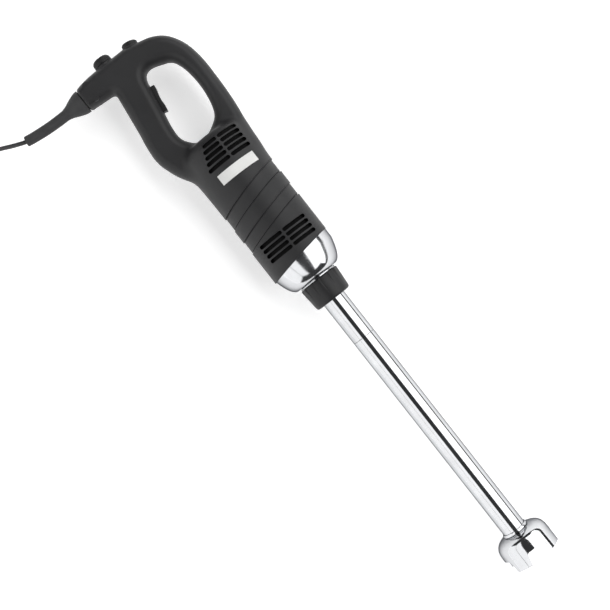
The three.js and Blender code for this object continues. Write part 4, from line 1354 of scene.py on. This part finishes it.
class STICK_OT_blade(bpy.types.Operator):
    """Forges the winged blade and its cap nut"""

    bl_idname = "stick.blade"
    bl_label = "Blade and nut"

    def execute(self, context):
        centre, tilt = -373.0, math.tan(math.radians(24))
        wing = np.linspace(16, 26.6, 8)
        points = []
        for y in np.concatenate([-wing[::-1], np.linspace(-14, 14, 9), wing]):
            lift = math.copysign(tilt * max(0.0, abs(y) - 16), y)
            half = 5.0 - 0.16 * max(0.0, abs(y) - 20) ** 1.3
            side = [(-1, 0.18), (-0.62, 0.9), (0.62, 0.9), (1, 0.18)]  # share of the width, half thickness
            points += [(centre + lift - thick, y, half * w) for w, thick in side]
            points += [(centre + lift + thick, y, half * w) for w, thick in side[::-1]]
        blade = new_object("cutting_blade", points, run_faces(len(points) // 8, 8), 20)
        combine(blade, turned("hub", rounded(rod(centre - 1.6, centre + 1.6, 8), 0.5), 72), "UNION")
        combine(blade, turned("bore", rod(centre - 9, centre + 9, 4.3), 48))
        shade(blade, 20)
        finish(blade, "blade_shaft", "steel", "blade")

        nut = turned("cap_nut", [(-378.3, 0), (-378.3, 6.0), (-377.8, 6.5), (-374.9, 6.5), (-374.9, 0)], 6)
        dome = [(-380, 0), (-380, 2.4), (-379, 4.4), (-377.5, 5.2), (-376, 5.2), (-376, 0)]
        combine(nut, turned("cap", rounded(dome, 1.2, 5), 64), "UNION")
        combine(nut, turned("thread", rod(-378.9, -370, 4.3), 48))
        shade(nut, 25)
        finish(nut, "blade_shaft", "steel", "blade_nut")
        return {"FINISHED"}


BEND_START, BEND = 124, 0.00172  # where the boot starts to curve, and how fast


def boot_line(y):
    """u of the boot's middle line, and its slope."""
    past = max(0.0, y - BEND_START)
    return ARM_AXIS + BEND * past**2, 2 * BEND * past


class STICK_OT_boot(bpy.types.Operator):
    """Moulds the tapered rubber boot where the cord leaves the arm"""

    bl_idname = "stick.boot"
    bl_label = "Cord boot"

    def execute(self, context):
        sleeve = [(y, 6.8 - 0.006 * (y - 118)) for y in np.linspace(118, 173.6, 24)]
        flare = spline([(90.4, 15), (95, 14.6), (100, 13.2), (106, 10.9), (112, 8.4), (118, 6.8)], 5)[:-1]
        bore = [(y, 3.3) for y in np.linspace(174.6, 83, 24)]
        neck = rounded([(83, 3.3), (83, 10), (86.5, 10), (86.5, 7.6), (90.4, 7.6), (90.4, 15)], 0.4)[1:-1]
        points, faces = revolve_points([*neck, *flare, *sleeve, (174.4, 6.1), (174.6, 5.6), *bore], 72)
        bent = []
        for y, across, up in points:
            middle, slope = boot_line(y)
            lean = math.atan(slope)
            bent.append((middle + across * math.cos(lean), y - across * math.sin(lean), up))
        boot = new_object("strain_relief", bent, faces)
        finish(boot, "housing", "boot", "cord_boot")
        return {"FINISHED"}


INSIDE = {
    "steel": ("motor_shaft", "upper_bearing", "lower_bearing", "drive_shaft", "upper_dog", "lower_dog"),
    "moulded": ("trigger_switch", "lock_switch", "potentiometer", "cord_clamp", "fan",
                "upper_bracket", "lower_bracket"),
    "board": ("control_board",),
    "laminations": ("stator_core", "armature_core"),
    "copper": ("field_coil_1", "field_coil_2", "winding_lower", "winding_upper", "commutator"),
    "brass": ("brush_holder_1", "brush_holder_2", "upper_bush", "middle_bush", "lower_bush"),
    "carbon": ("carbon_brush_1", "carbon_brush_2"),
    "boot": ("shaft_seal",),
    "cord": ("inner_lead",),
}


class STICK_OT_inside(bpy.types.Operator):
    """Gives the parts inside the housing and the foot their finishes"""

    bl_idname = "stick.inside"
    bl_label = "Inner parts' finishes"

    def execute(self, context):
        for key, names in INSIDE.items():
            for name in names:
                part = bpy.data.objects[name]
                if not part.material_slots:
                    part.data.materials.append(material_for(key))
                for slot in part.material_slots:
                    slot.material = material_for(key)
        return {"FINISHED"}


class STICK_PT_panel(bpy.types.Panel):
    """Lists the blender's parts and sizes"""

    bl_idname = "STICK_PT_panel"
    bl_label = "Immersion Blender"
    bl_space_type = "VIEW_3D"
    bl_region_type = "UI"
    bl_category = "Immersion Blender"

    def draw(self, context):
        layout = self.layout
        for one in STEPS:
            layout.operator(one.bl_idname)
        for group in (context.scene.stick_sizes, context.scene.stick_colours):
            box = layout.box()
            for name in group.__annotations__:
                box.prop(group, name)


STEPS = (
    STICK_OT_stage, STICK_OT_cord, STICK_OT_boot, STICK_OT_housing, STICK_OT_screws, STICK_OT_badge,
    STICK_OT_controls, STICK_OT_springs, STICK_OT_bowl, STICK_OT_collar, STICK_OT_foot, STICK_OT_bell,
    STICK_OT_blade, STICK_OT_inside,
)
CLASSES = (BodySizes, Colours, *STEPS, STICK_PT_panel)


def register():
    for one in CLASSES:
        bpy.utils.register_class(one)
    bpy.types.Scene.stick_sizes = PointerProperty(type=BodySizes)
    bpy.types.Scene.stick_colours = PointerProperty(type=Colours)


def unregister():
    del bpy.types.Scene.stick_colours
    del bpy.types.Scene.stick_sizes
    for one in reversed(CLASSES):
        bpy.utils.unregister_class(one)


def main():
    register()
    MATERIALS.clear()
    bpy.ops.stick.stage()
    bpy.ops.stick.cord()
    bpy.ops.stick.boot()
    bpy.ops.stick.housing()
    bpy.ops.stick.screws()
    bpy.ops.stick.badge()
    bpy.ops.stick.controls()
    bpy.ops.stick.springs()
    bpy.ops.stick.bowl()
    bpy.ops.stick.collar()
    bpy.ops.stick.foot()
    bpy.ops.stick.bell()
    bpy.ops.stick.blade()
    bpy.ops.stick.inside()


if __name__ == "__main__":
    main()
